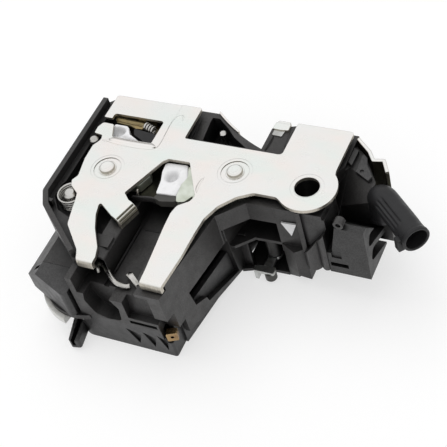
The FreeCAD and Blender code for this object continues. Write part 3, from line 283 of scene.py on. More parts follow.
@dataclass(frozen=True)
class Plastic:
    """Moulded black or grey plastic: satin skin, fine grain, paler along its edges as wear with a painted
    highlight, and painted shade that darkens its hollows.
    """

    name: str
    colour: Triple
    # pale_wear_and_highlight colours the edges, which are worn and also carry a painted highlight, and the fine
    # pale speckle.
    pale_wear_and_highlight: Triple
    gloss: Pair = (0.36, 0.54)
    grain: float = 0.022 * MM
    sink: float = 0.10 * MM
    specular: float = 0.5
    rounding: float = 0.22 * MM
    # reach and painted_shade_darkest set the painted shade in hollows: how far off a wall it reaches, and the
    # colour factor at its darkest.
    reach: float = 14 * MM
    painted_shade_darkest: float = 0.14

    def material(self) -> bpy.types.Material:
        """Build the material.

        Returns:
            The material.
        """
        bench = Bench(self.name)
        rounded = bench.softened(self.rounding)
        # Paler edges: partly rubbed wear, partly a painted highlight along the rounded edges.
        wear_and_highlight_edges = bench.calc("MULTIPLY", bench.edges(rounded, 2.6), bench.spread(bench.noise(900, 3), 0.25, 1.0))
        patches = bench.spread(bench.noise(70, 4), 0.0, 1.0)
        # Painted shade: an ambient occlusion mask, 1 in the open and 0 deep in hollows.
        painted_shade_open = bench.painted_shade_mask(self.reach, 0.36, 0.92)
        darker = tuple(0.6 * c for c in self.colour)
        mottled = bench.blend(patches, darker, self.colour)
        skin = bench.blend(bench.spread(bench.noise(1900, 3), 0.0, 0.5), mottled, self.pale_wear_and_highlight)
        outer = bench.blend(wear_and_highlight_edges, skin, self.pale_wear_and_highlight)
        # Painted shade blended into the hollows, down to painted_shade_darkest times the colour.
        colour = bench.blend(painted_shade_open, tuple(self.painted_shade_darkest * c for c in self.colour), outer)
        roughness = bench.calc("ADD", bench.spread(bench.noise(240, 4), *self.gloss),
                               bench.spread(bench.noise(5200, 1), -0.04, 0.05))
        sunk = bench.bump(bench.noise(130, 2), self.sink, rounded)
        normal = bench.bump(bench.noise(2600, 3), self.grain, sunk)
        return bench.finish(colour, roughness, normal, Specular_IOR_Level=self.specular)


@dataclass(frozen=True)
class Rubber:
    """Soft matt rubber with a dusty bloom on its edges and faint patches."""

    name: str
    colour: Triple
    roughness: float
    specular: float = 0.45
    rounding: float = 0.3 * MM
    swing: float = 0.08

    def material(self) -> bpy.types.Material:
        """Build the material.

        Returns:
            The material.
        """
        bench = Bench(self.name)
        rounded = bench.softened(self.rounding)
        bloom = bench.calc("MULTIPLY", bench.edges(rounded, 2.0), bench.spread(bench.noise(1100, 3), 0.2, 1.0))
        pale = tuple(2.4 * c + 0.01 for c in self.colour)
        patches = bench.blend(bench.spread(bench.noise(150, 4), 0.0, 1.0), self.colour,
                              tuple(1.35 * c for c in self.colour))
        roughness = bench.spread(bench.noise(600, 3), self.roughness - self.swing, self.roughness + self.swing)
        normal = bench.bump(bench.noise(3000, 3), 0.015 * MM, rounded)
        colour = bench.blend(bloom, patches, pale)
        return bench.finish(colour, roughness, normal, Specular_IOR_Level=self.specular)


@dataclass(frozen=True)
class ZincSheet:
    """Bright plated sheet: rolled along X, faint pastel bloom, painted shade that darkens its walls, and bright
    edges that are partly rubbed wear and partly a painted highlight.
    """

    name: str
    colour: Triple
    warm: Triple
    cool: Triple
    # wall is the painted shade colour of faces that don't look along Z.
    wall: Triple
    # edge is the edges' colour: rubbed wear with a painted highlight.
    edge: Triple = (0.93, 0.93, 0.92)
    gloss: Pair = (0.22, 0.27)
    rounding: float = 0.22 * MM
    wall_dulling: float = 0.22

    def material(self) -> bpy.types.Material:
        """Build the material.

        Returns:
            The material.
        """
        bench = Bench(self.name)
        rounded = bench.softened(self.rounding)
        # Faces that look along Z keep the bright colour; the walls take the darker painted shade.
        flat = bench.upright()
        bloom = bench.blend(bench.spread(bench.noise(55, 3), 0.0, 0.8, 0.35, 0.65), self.colour, self.warm)
        streaks = bench.noise(38, 2, bench.stretched((1.0, 2.2, 1.0)))
        bloom = bench.blend(bench.spread(streaks, 0.0, 0.8, 0.45, 0.7), bloom, self.cool)
        # Painted shade on the walls, streaked along Z.
        painted_shade_walls = bench.blend(bench.spread(bench.noise(900, 4, bench.stretched((2.5, 2.5, 0.25))), 0.0, 1.0),
                           self.wall, tuple(0.7 * c for c in self.wall))
        # Bright edges: partly rubbed wear, partly a painted highlight.
        edge_tint = bench.calc("MULTIPLY", bench.edges(rounded, 2.0), 0.6)
        colour = bench.blend(edge_tint, bench.blend(flat, painted_shade_walls, bloom), self.edge)
        rolled = bench.noise(500, 2, bench.stretched((0.05, 1.0, 1.0)))
        scuffs = bench.spread(bench.noise(160, 4), 0.0, 0.07, 0.5, 0.8)
        smooth = bench.calc("ADD", bench.spread(rolled, *self.gloss), scuffs)
        dull = bench.calc("MULTIPLY", bench.calc("SUBTRACT", 1.0, flat), self.wall_dulling)
        roughness = bench.calc("ADD", smooth, dull)
        peel = bench.bump(bench.noise(45, 1), 0.04 * MM, rounded)
        normal = bench.bump(rolled, 0.0006 * MM, peel)
        return bench.finish(colour, roughness, normal, Metallic=1.0)


@dataclass(frozen=True)
class Metal:
    """Bare, chromated or plated steel and brass with blotches, bright edges that are partly rubbed wear and
    partly a painted highlight, and fine scratches.
    """

    name: str
    colour: Triple
    stain: Triple
    # edge is the edges' colour: rubbed wear with a painted highlight.
    edge: Triple
    gloss: Pair = (0.26, 0.45)
    along: Triple = (0.15, 1.0, 1.0)
    rounding: float = 0.18 * MM

    def material(self) -> bpy.types.Material:
        """Build the material.

        Returns:
            The material.
        """
        bench = Bench(self.name)
        rounded = bench.softened(self.rounding)
        blotch = bench.spread(bench.noise(180, 5), 0.0, 1.0, 0.38, 0.66)
        # Bright edges: partly rubbed wear, partly a painted highlight.
        edge_tint = bench.calc("MULTIPLY", bench.edges(rounded, 2.4), bench.spread(bench.noise(1500, 2), 0.4, 1.0))
        colour = bench.blend(edge_tint, bench.blend(blotch, self.colour, self.stain), self.edge)
        lines = bench.noise(3800, 2, bench.stretched(self.along))
        roughness = bench.calc("ADD", bench.spread(lines, *self.gloss), bench.calc("MULTIPLY", blotch, 0.08))
        normal = bench.bump(lines, 0.006 * MM, bench.bump(bench.noise(420, 2), 0.02 * MM, rounded))
        return bench.finish(colour, roughness, normal, Metallic=1.0)


@dataclass(frozen=True)
class Coat:
    """Smooth white coating or natural nylon: soiled in patches, painted shade in hollows, rubbed grey at edges.
    """

    name: str
    colour: Triple
    soil: Triple
    gloss: Pair = (0.25, 0.4)
    rounding: float = 0.25 * MM
    # reach and painted_shade_darkest set the painted shade in hollows: how far off a wall it reaches, and the
    # colour factor at its darkest.
    reach: float = 3 * MM
    painted_shade_darkest: float = 0.45

    def material(self) -> bpy.types.Material:
        """Build the material.

        Returns:
            The material.
        """
        bench = Bench(self.name)
        rounded = bench.softened(self.rounding)
        smear = bench.spread(bench.noise(320, 5), 0.0, 0.55, 0.5, 0.75)
        edge_tint = bench.calc("MULTIPLY", bench.edges(rounded, 1.6), bench.spread(bench.noise(1300, 2), 0.0, 0.5))
        outer = bench.blend(edge_tint, bench.blend(smear, self.colour, self.soil), self.soil)
        # Painted shade: hollows darken towards painted_shade_darkest times the soil colour.
        painted_shade_open = bench.painted_shade_mask(self.reach, 0.45, 0.95)
        colour = bench.blend(painted_shade_open, tuple(self.painted_shade_darkest * c for c in self.soil), outer)
        roughness = bench.spread(bench.noise(500, 4), *self.gloss)
        normal = bench.bump(bench.noise(900, 2), 0.02 * MM, rounded)
        return bench.finish(colour, roughness, normal, Specular_IOR_Level=0.5)


# Olive steel darkened as painted shade, for the back plate that lies in shade under the plate.
SHADED_OLIVE = Metal("painted_shade_olive", (0.050, 0.048, 0.036), (0.028, 0.027, 0.022), (0.22, 0.21, 0.16))
FINISHES = {
    Slot.ZINC: ZincSheet("plated_sheet", (0.86, 0.86, 0.845), (0.90, 0.84, 0.80), (0.80, 0.865, 0.83),
                         (0.66, 0.62, 0.54)),
    Slot.BLACK: Plastic("moulded_black", (0.026, 0.0245, 0.0245), (0.085, 0.082, 0.080)),
    Slot.GREY: Plastic("moulded_grey_black", (0.034, 0.033, 0.034), (0.095, 0.094, 0.094)),
    Slot.CONNECTOR: Plastic("moulded_connector", (0.024, 0.023, 0.023), (0.085, 0.085, 0.085), (0.4, 0.55),
                            specular=0.35),
    Slot.OLIVE: Metal("olive_chromate", (0.13, 0.122, 0.088), (0.060, 0.058, 0.044), (0.78, 0.76, 0.68),
                      (0.32, 0.5)),
    Slot.SPRING: Metal("drawn_wire", (0.62, 0.61, 0.59), (0.42, 0.41, 0.38), (0.85, 0.84, 0.82), (0.18, 0.32)),
    Slot.LOCK: Metal("greenish_plate", (0.74, 0.78, 0.70), (0.56, 0.60, 0.50), (0.86, 0.87, 0.83)),
    Slot.WHITE: Coat("white_coating", (0.88, 0.88, 0.89), (0.70, 0.70, 0.70)),
    Slot.BUMPER: Rubber("bumper_compound", (0.045, 0.044, 0.040), 0.5),
    Slot.BRONZE: Metal("yellow_chromate", (0.36, 0.27, 0.13), (0.22, 0.19, 0.11), (0.74, 0.66, 0.46),
                       (0.24, 0.4)),
    Slot.BRASS: Metal("bare_brass", (0.40, 0.27, 0.13), (0.24, 0.15, 0.08), (0.80, 0.64, 0.38), (0.2, 0.36)),
    Slot.BOOT: Rubber("boot_compound", (0.013, 0.013, 0.014), 0.46, 0.33),
    Slot.NYLON: Coat("natural_nylon", (0.80, 0.80, 0.78), (0.58, 0.56, 0.50), (0.35, 0.5)),
    Slot.MOTOR: Metal("drawn_can", (0.52, 0.52, 0.53), (0.40, 0.40, 0.40), (0.78, 0.78, 0.78)),
    Slot.LEVER: Metal("plated_lever", (0.60, 0.61, 0.60), (0.44, 0.44, 0.42), (0.86, 0.86, 0.85), (0.24, 0.4)),
}


def surface(name: str, points: np.ndarray, close_rows: bool, close_columns: bool,
            sharp_deg: float = 40.0) -> bpy.types.Object:
    """A mesh over a grid of points, quads between neighbours, its doubled points merged and faces turned out.

    Args:
        name: the piece's name.
        points: array of rows by columns by 3, in metres.
        close_rows: whether the last row joins the first.
        close_columns: whether the last column joins the first.
        sharp_deg: edges that turn more than this stay sharp.
    Returns:
        The new object at the origin.
    """
    rows, columns = points.shape[:2]
    index = np.arange(rows * columns).reshape(rows, columns)
    if close_rows:
        index = np.vstack([index, index[:1]])
    if close_columns:
        index = np.hstack([index, index[:, :1]])
    quads = np.stack([index[:-1, :-1], index[:-1, 1:], index[1:, 1:], index[1:, :-1]], axis=-1).reshape(-1, 4)
    mesh = bpy.data.meshes.new(name)
    mesh.from_pydata(points.reshape(-1, 3).tolist(), [], quads.tolist())
    shell = bmesh.new()
    shell.from_mesh(mesh)
    bmesh.ops.remove_doubles(shell, verts=shell.verts, dist=MERGE_DISTANCE)
    bmesh.ops.recalc_face_normals(shell, faces=shell.faces)
    shell.to_mesh(mesh)
    shell.free()
    mesh.polygons.foreach_set("use_smooth", [True] * len(mesh.polygons))
    mesh.set_sharp_from_angle(angle=math.radians(sharp_deg))
    piece = bpy.data.objects.new(name, mesh)
    bpy.context.scene.collection.objects.link(piece)
    return piece


def crosswise(axis: np.ndarray) -> tuple[np.ndarray, np.ndarray]:
    """Two unit vectors square to an axis and to each other: Z, or X near it, crossed with the axis, and
    the axis crossed with that.

    Args:
        axis: a unit vector.
    Returns:
        Both vectors.
    """
    helper = np.array([0.0, 0.0, 1.0]) if abs(axis[2]) < 0.9 else np.array([1.0, 0.0, 0.0])
    first = np.cross(helper, axis)
    first /= np.linalg.norm(first)
    return first, np.cross(axis, first)


def revolved(profile: Sequence[Pair] | np.ndarray, centre: Triple, axis: Triple = (0, 0, 1),
             steps: int = 72) -> np.ndarray:
    """Points of a turned shape: centre + axis * h + r * (u cos a + v sin a) for each profile point (r, h).

    Args:
        profile: pairs (r, h) in millimetres.
        centre: where h is 0, in millimetres.
        axis: the turning axis.
        steps: how many angles.
    Returns:
        The grid in metres, one row per profile point.
    """
    profile = np.asarray(profile, float)
    along = np.asarray(axis, float)
    along /= np.linalg.norm(along)
    first, second = crosswise(along)
    angle = np.linspace(0, 2 * np.pi, steps, endpoint=False)
    spoke = np.cos(angle)[:, None] * first + np.sin(angle)[:, None] * second
    return (np.asarray(centre) + profile[:, 1, None, None] * along + profile[:, 0, None, None] * spoke) * MM


def swept(path: np.ndarray, section: Sequence[Pair] | np.ndarray, over: Triple = (0, 0, 1),
          taper: float = 0.0) -> np.ndarray:
    """Points of a profile sweep: path(i) + size(i) * (side(i) * x(j) + up(i) * y(j)) for each section point.

    Side is square to the path's direction and to over. The sweep is closed at both ends by rows that shrink to
    the path.
    Args:
        path: points along the middle line, in millimetres.
        section: pairs (x, y) in millimetres round the profile.
        over: the direction that y leans to.
        taper: length in millimetres over which size grows from 0 to 1 at both ends; 0 keeps it at 1.
    Returns:
        The grid in metres, one row per path point.
    """
    path, section = np.asarray(path, float), np.asarray(section, float)
    tangent = np.gradient(path, axis=0)
    tangent /= np.linalg.norm(tangent, axis=1)[:, None]
    side = np.cross(tangent, np.asarray(over, float))
    side /= np.linalg.norm(side, axis=1)[:, None]
    up = np.cross(side, tangent)
    size = np.ones(len(path))
    if taper > 0:
        along = np.concatenate([[0.0], np.cumsum(np.linalg.norm(np.diff(path, axis=0), axis=1))])
        size = np.sin(np.clip(np.minimum(along, along[-1] - along) / taper, 0.02, 1) * np.pi / 2)
    grid = path[:, None] + size[:, None, None] * (side[:, None] * section[None, :, :1]
                                                  + up[:, None] * section[None, :, 1:])
    caps = [np.repeat(grid[end].mean(axis=0)[None], len(section), axis=0)[None] for end in (0, -1)]
    return np.concatenate([caps[0], grid, caps[1]]) * MM


def disc(radius: float, sides: int, flat: float = 1.0) -> np.ndarray:
    """A round section: (r cos a, flat * r sin a)."""
    angle = np.linspace(0, 2 * np.pi, sides, endpoint=False)
    return np.stack([radius * np.cos(angle), flat * radius * np.sin(angle)], axis=1)


def flowing(corners: Sequence[Triple], steps: int = 12) -> np.ndarray:
    """A smooth line through corners: Catmull-Rom cubics between neighbours.

    Args:
        corners: the points that the line runs through.
        steps: points from each corner to the next.
    Returns:
        The line's points.
    """
    knots = np.asarray(corners, float)
    knots = np.vstack([2 * knots[0] - knots[1], knots, 2 * knots[-1] - knots[-2]])
    t = np.linspace(0, 1, steps, endpoint=False)[:, None]
    parts = [0.5 * (2 * b + (c - a) * t + (2 * a - 5 * b + 4 * c - d) * t ** 2
                    + (3 * b - a - 3 * c + d) * t ** 3)
             for a, b, c, d in zip(knots, knots[1:], knots[2:], knots[3:])]
    return np.vstack(parts + [knots[-2:-1]])


def rounded_plan(corners: Sequence[Triple], steps: int, gap: float) -> np.ndarray:
    """A closed plan line whose corners (x, y, r) are arcs of radius r, with points along its sides.

    Args:
        corners: corner points and radii in millimetres, in order.
        steps: points in each arc.
        gap: the longest step along a side.
    Returns:
        The line's points.
    """
    line = []
    count = len(corners)
    for i, (x, y, r) in enumerate(corners):
        here = np.array([x, y])
        back = np.array(corners[i - 1][:2]) - here
        ahead = np.array(corners[(i + 1) % count][:2]) - here
        back, ahead = back / np.linalg.norm(back), ahead / np.linalg.norm(ahead)
        half = math.acos(np.clip(back @ ahead, -1, 1)) / 2
        reach = r / math.tan(half)
        middle = here + (back + ahead) / np.linalg.norm(back + ahead) * r / math.sin(half)
        first, last = here + back * reach - middle, here + ahead * reach - middle
        share = np.linspace(0, 1, steps)[:, None]
        spoke = first * (1 - share) + last * share
        spoke *= r / np.maximum(np.linalg.norm(spoke, axis=1), 1e-9)[:, None]
        line.append(middle + spoke)
    full = []
    for i, part in enumerate(line):
        after = line[(i + 1) % count][0]
        pieces = max(int(np.linalg.norm(after - part[-1]) / gap), 1)
        share = np.linspace(0, 1, pieces, endpoint=False)[1:, None]
        full += [part, part[-1] * (1 - share) + after * share]
    return np.vstack(full)


def pillow(plan: np.ndarray, low: float, high: float, edge: float = 0.3, rings: int = 14,
           relief: Callable[[np.ndarray, np.ndarray], np.ndarray] | None = None) -> np.ndarray:
    """Points of a moulded pad: walls up the plan line, a rounded rim, and a top of height high + relief(x, y).

    Rows run from the middle of the underside, out and up the wall, round the rim, and in to the middle.
    Args:
        plan: the closed plan line in millimetres, seen whole from its middle.
        low: the underside's height.
        high: the top's height.
        edge: the rim's radius.
        rings: rows across the top.
        relief: heights added to the top.
    Returns:
        The grid in metres.
    """
    middle = plan.mean(axis=0)
    inward = middle - plan
    inward /= np.linalg.norm(inward, axis=1)[:, None]
    turn = np.linspace(0, np.pi / 2, 5)
    rows = [(plan * 0 + middle, low, False), (plan, low, False), (plan, high - edge, False)]
    rows += [(plan + inward * edge * (1 - math.cos(a)), edge * (math.sin(a) - 1), True) for a in turn[1:]]
    rim = plan + inward * edge
    rows += [(rim * (1 - s) + middle * s, 0.0, True) for s in np.linspace(0, 1, rings)[1:]]
    grid = []
    for line, height, on_top in rows:
        lift = np.full(len(line), float(height))
        if on_top:
            lift += high if relief is None else high + relief(line[:, 0], line[:, 1])
        grid.append(np.column_stack([line, lift]))
    return np.array(grid) * MM


def hump(at: np.ndarray, middle: float, width: float, power: int = 2) -> np.ndarray:
    """A smooth hump of height 1: exp(-((at - middle) / width) ** power)."""
    return np.exp(-(((at - middle) / width) ** power))


def placed(side: np.ndarray, over: np.ndarray, back: np.ndarray, place: Triple) -> Matrix:
    """The matrix that turns X to side, Y to over and Z to back, and then moves to place.

    Args:
        side: unit vector.
        over: unit vector.
        back: unit vector.
        place: a point in metres.
    Returns:
        The matrix.
    """
    turn = np.eye(4)
    turn[:3, 0], turn[:3, 1], turn[:3, 2], turn[:3, 3] = side, over, back, place
    return Matrix(turn.tolist())


def add_piece(name: str, points: np.ndarray, slot: Slot, body: Body = Body.CASE, sharp_deg: float = 40.0,
              close_rows: bool = False) -> bpy.types.Object:
    """Make a piece from a grid that closes round its columns, and give it its finish and its body.

    Args:
        name: the piece's name.
        points: the grid in metres.
        slot: the material slot it takes.
        body: the body it rides on.
        sharp_deg: edges that turn more than this stay sharp.
        close_rows: whether the last row joins the first.
    Returns:
        The new object.
    """
    piece = surface(name, points, close_rows, True, sharp_deg)
    piece.data.materials.append(MATERIALS[slot])
    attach(piece, body.value)
    LOG.info("piece %s on %s, %d faces", piece.name, body.value, len(piece.data.polygons))
    return piece


def bead(name: str, plan: Sequence[Pair], level: float, width: float, height: float, slot: Slot) -> None:
    """A low bead along a level line: a cos squared wave above it that dies out at both ends.

    Args:
        name: the piece's name.
        plan: corner points in millimetres, a smooth curve is drawn through them.
        level: the height that the bead stands on.
        width: across the bead.
        height: above the level.
        slot: its finish.
    """
    sunk, under, fade = 0.03, 0.08, 3.0
    across = np.linspace(-1, 1, 17)
    wave = np.column_stack([across * width / 2, (height + sunk) * np.cos(across * np.pi / 2) ** 2 - sunk])
    section = np.vstack([wave, [(width / 2, -under), (-width / 2, -under)]])
    line = flowing([(x, y, level) for x, y in plan])
    add_piece(name, swept(line, section, taper=fade), slot, sharp_deg=60)


MATERIALS = {slot: finish.material() for slot, finish in FINISHES.items()}


@dataclass
class CarriedNodes:
    """The CAD nodes that show as they are and take the finish of their slot, or of a special one."""

    special: dict[str, Slot]

    def build(self) -> None:
        """Put each node's finish in its material slots."""
        slots = {part["node"]: part["material_slot"] for part in frame["record"]["subparts"]}
        shaded = SHADED_OLIVE.material()
        for name, node in frame["nodes"].items():
            slot = self.special.get(name, Slot(slots[name]))
            node.data.materials.clear()
            # back_plate takes the olive darkened as painted shade.
            node.data.materials.append(shaded if name == "back_plate" else MATERIALS[slot])
        LOG.info("dressed %d carried nodes", len(frame["nodes"]))


@dataclass
class ElbowBoot:
    """Rubber elbow: a foot on the shelf, a bend, and a level leg whose mouth takes the cable."""

    corner: Triple = (24.1, 9.2, -7.0)
    foot_z: float = -20.0
    bend: float = 5.8
    reach: float = 27.5
    heading_deg: float = -41.7
    radius: float = 5.15
    bore: float = 4.3
    swell: float = 0.25
    roll: float = 0.4
    waist_depth: float = 0.12
    groove_depth: float = 0.55
    groove_half_turn: float = 0.075
    groove_lifts: tuple[float, ...] = (0.2, 1.9, 3.5, 4.6)
    groove_span: Pair = (21.0, 7.0)
    tab_back: float = 3.6
    tab_half: Pair = (1.6, 1.3)
    tab_levels: Pair = (-11.6, -6.2)

    def ahead(self) -> np.ndarray:
        """Unit vector along the level leg."""
        turn = math.radians(self.heading_deg)
        return np.array([math.cos(turn), math.sin(turn), 0.0])

    def line(self, s: np.ndarray) -> tuple[np.ndarray, np.ndarray]:
        """The middle line: straight up, a quarter circle of radius bend, then level.

        Args:
            s: lengths along the line from the foot.
        Returns:
            Points and unit tangents.
        """
        corner, ahead, up = np.array(self.corner), self.ahead(), np.array([0.0, 0.0, 1.0])
        rise = corner[2] - self.bend - self.foot_z
        arc = self.bend * np.pi / 2
        turn = np.clip((s - rise) / self.bend, 0, np.pi / 2)[:, None]
        before = np.minimum(s - rise, 0)[:, None]
        after = np.maximum(s - rise - arc, 0)[:, None]
        start = corner - up * self.bend
        lift, run = before + self.bend * np.sin(turn), self.bend * (1 - np.cos(turn)) + after
        return start + up * lift + ahead * run, up * np.cos(turn) + ahead * np.sin(turn)

    def length(self) -> float:
        """Length of the middle line in millimetres."""
        rise = self.corner[2] - self.bend - self.foot_z
        return rise + self.bend * np.pi / 2 + self.reach - self.bend

    def wall(self) -> np.ndarray:
        """The skin: out along the outside, round the lip and back along the bore.

        At length s and angle a the point is line(s) + r(s, a) * (side cos a + over sin a). Outside, r is the
        boot's radius, plus a swell at the mouth and at the foot, less a shallow waist and less four grooves
        that run along the leg and fade in and out.
        Returns:
            The grid in metres.
        """
        total = self.length()
        last = total - self.roll
        outside, lip, inside = np.linspace(0, last, 150), np.linspace(0, np.pi, 9), np.linspace(last, 0, 60)
        s = np.concatenate([outside, last + self.roll * np.sin(lip), inside])
        mouth = self.radius + self.swell
        swells = hump(outside, total - 0.9, 0.8, 4) + hump(outside, 1.2, 1.1, 4)
        outer = self.radius + self.swell * swells - self.waist_depth * hump(outside, total - 4.5, 1.6)
        edge = (mouth + self.bore) / 2 + (mouth - self.bore) / 2 * np.cos(lip)
        base = np.concatenate([outer, edge, np.full(len(inside), self.bore)])
        angle = np.linspace(0, 2 * np.pi, 96, endpoint=False)
        radius = np.repeat(base[:, None], len(angle), axis=1)
        start, end = (total - span for span in self.groove_span)
        shown = np.zeros(len(s))
        shown[:len(outside)] = 1 / (1 + np.exp(-(outside - start) * 3)) / (1 + np.exp((outside - end) * 3))
        for lift in self.groove_lifts:
            away = np.angle(np.exp(1j * (angle - math.asin(lift / self.radius))))
            radius -= self.groove_depth * shown[:, None] * hump(away, 0.0, self.groove_half_turn, 4)
        points, tangents = self.line(s)
        side = np.array([self.ahead()[1], -self.ahead()[0], 0.0])
        over = np.cross(side, tangents)
        over /= np.linalg.norm(over, axis=1)[:, None]
        spoke = np.cos(angle)[None, :, None] * side + np.sin(angle)[None, :, None] * over[:, None, :]
        return (points[:, None, :] + radius[:, :, None] * spoke) * MM

    def build(self) -> None:
        """Make the boot in place of its plain CAD solid, and the tab below its mouth."""
        boot = add_piece("boot_skin", self.wall(), Slot.BOOT, sharp_deg=60, close_rows=True)
        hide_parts("elbow_boot")
        ahead, side = self.ahead()[:2], np.array([self.ahead()[1], -self.ahead()[0]])
        middle = np.array(self.corner[:2]) + ahead * (self.reach - self.tab_back) + side * (self.radius + 0.1)
        half_length, half_width = self.tab_half
        corners = [(*(middle + ahead * half_length * a + side * half_width * b), 0.3)
                   for a, b in ((-1, -1), (1, -1), (1, 1), (-1, 1))]
        add_piece("boot_tab", pillow(rounded_plan(corners, 4, 0.4), *self.tab_levels, 0.3, 6), Slot.BOOT)


@dataclass
class LeverSpring:
    """Torsion spring on its post: close turns of bright wire and a leg that runs in under the plate."""

    centre: Pair = (-93.0, -22.6)
    radius: float = 4.9
    wire: float = 0.5
    gap: float = 0.06
    top: float = -2.1
    turns: float = 4.3
    start: float = 0.9
    leg: float = 6.0

    def build(self) -> None:
        """Wind the spring, (r cos a, r sin a, top - pitch * a / 2 pi), after a straight leg."""
        pitch = 2 * self.wire + self.gap
        angle = np.linspace(0, 2 * np.pi * self.turns, 260) + self.start
        spoke = np.stack([np.cos(angle), np.sin(angle)], axis=1)
        drop = self.top - pitch * (angle - angle[0]) / (2 * np.pi)
        helix = np.column_stack([np.array(self.centre) + self.radius * spoke, drop])
        leg = np.linspace(self.leg, self.wire, 8)[:, None]
        before = helix[0] + leg * np.array([math.sin(angle[0]), -math.cos(angle[0]), 0.0])
        path = np.vstack([before, helix])
        spring = add_piece("lever_coil", swept(path, disc(self.wire, 12)), Slot.SPRING, sharp_deg=60)
        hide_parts("lever_spring")


@dataclass
class PlatePressings:
    """Relief pressed into the latch plate: a bead, the window's lip, coined rims and a creased corner."""

    bead_line: Plan = (
        (-91.8, 4.8), (-86.6, 3.9), (-77.9, 3.4), (-69.9, 3.9), (-67.0, 5.2), (-66.1, 8.0), (-66.3, 14.0),
        (-66.6, 19.8), (-65.9, 23.4), (-64.4, 24.5), (-63.2, 23.6), (-62.9, 21.8))
    lip_line: Plan = ((-89.4, 6.2), (-82.0, 5.9), (-74.0, 6.0), (-67.6, 6.3))
    crease_line: Plan = ((-40.6, -12.6), (-41.3, -9.6), (-41.3, -6.4), (-40.9, -4.2))
    rims: tuple[tuple[str, float, float, float], ...] = (
        ("coined_rim_0", -82.2, -8.6, 6.3), ("coined_rim_1", -30.2, 1.0, 6.3), ("hole_rim", 0.0, 0.0, 5.8))
    rim_half: float = 0.7
    rim_height: float = 0.10

    def rim(self, name: str, x: float, y: float, radius: float) -> None:
        """A low coined rim: a turned line, r = radius - half cos s and h = height sin^2 s, just off the plate.

        Args:
            name: the piece's name.
            x: its middle.
            y: its middle.
            radius: to the rim's crest.
        """
        share = np.linspace(0, np.pi, 9)
        half, height = self.rim_half, self.rim_height
        wave = np.column_stack([radius - half * np.cos(share), height * np.sin(share) ** 2 + 0.005])
        turned = revolved(np.vstack([wave, [(radius + half, -0.12), (radius - half, -0.12)]]), (x, y, 0.0))
        add_piece(name, turned, Slot.ZINC, sharp_deg=60, close_rows=True)

    def build(self) -> None:
        """Lay every bead and rim on the plate."""
        bead("plate_bead_0", self.bead_line, 0.0, 1.3, 0.22, Slot.ZINC)
        bead("window_lip", self.lip_line, 0.0, 3.4, 0.6, Slot.ZINC)
        for rim in self.rims:
            self.rim(*rim)
        bead("mouth_crease", self.crease_line, 0.0, 1.8, 0.4, Slot.ZINC)


@dataclass
class RivetHeads:
    """Headed over rivet ends: a low disc with a rolled rim and a faintly struck middle."""

    places: tuple[tuple[str, float, float], ...] = (
        ("rivet_left_head", -82.2, -8.6), ("rivet_right_head", -30.2, 1.0))
    radius: float = 2.9
    height: float = 1.2

    def build(self) -> None:
        """Turn both heads; each sits round the CAD rivet's head and closes over it."""
        r, h = self.radius, self.height
        profile = [(0, 0.05), (r + 0.25, 0.0), (r + 0.32, h * 0.25), (r + 0.22, h * 0.6), (r - 0.1, h * 0.86),
                   (r - 0.6, h * 0.97), (1.4, h), (0.6, h * 0.97), (0, h * 0.96)]
        for name, x, y in self.places:
            add_piece(name, revolved(profile, (x, y, 0.0)), Slot.ZINC, sharp_deg=50)


@dataclass
class ClawArm:
    """White coated arm of the claw, its face scooped out round a dimple, with a rolled front edge."""

    corners: Corners = (
        (-60.7, 0.9, 1.2), (-60.2, -3.9, 1.5), (-58.7, -8.3, 1.5), (-57.6, -14.9, 0.6), (-48.6, -14.1, 0.8),
        (-47.0, -7.4, 2.5), (-51.0, 1.5, 1.4))
    low: float = -5.6
    top: float = -1.72
    dimple: Pair = (-55.2, -5.4)
    dimple_depth: float = 2.6
    fall_depth: float = 0.9

    def relief(self, x: np.ndarray, y: np.ndarray) -> np.ndarray:
        """The scoop: a bowl dimple_depth deep, and a face that falls off by fall_depth to the right.

        Args:
            x: places on the arm.
            y: places on the arm.
        Returns:
            The heights added there.
        """
        near = ((x - self.dimple[0]) / 2.4) ** 2 + ((y - self.dimple[1]) / 2.6) ** 2
        fall = np.clip((x + 51.5 - 0.25 * (y + 7.0)) / 4.0, 0, 1)
        return -self.dimple_depth * np.exp(-near ** 2) - self.fall_depth * fall ** 2

    def build(self) -> None:
        """Mould the arm in place of its plain CAD solid."""
        shape = pillow(rounded_plan(self.corners, 8, 0.5), self.low, self.top, 0.5, 30, self.relief)
        arm = add_piece("claw_arm_skin", shape, Slot.WHITE, Body.CLAW, 50)
        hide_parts("claw_arm")


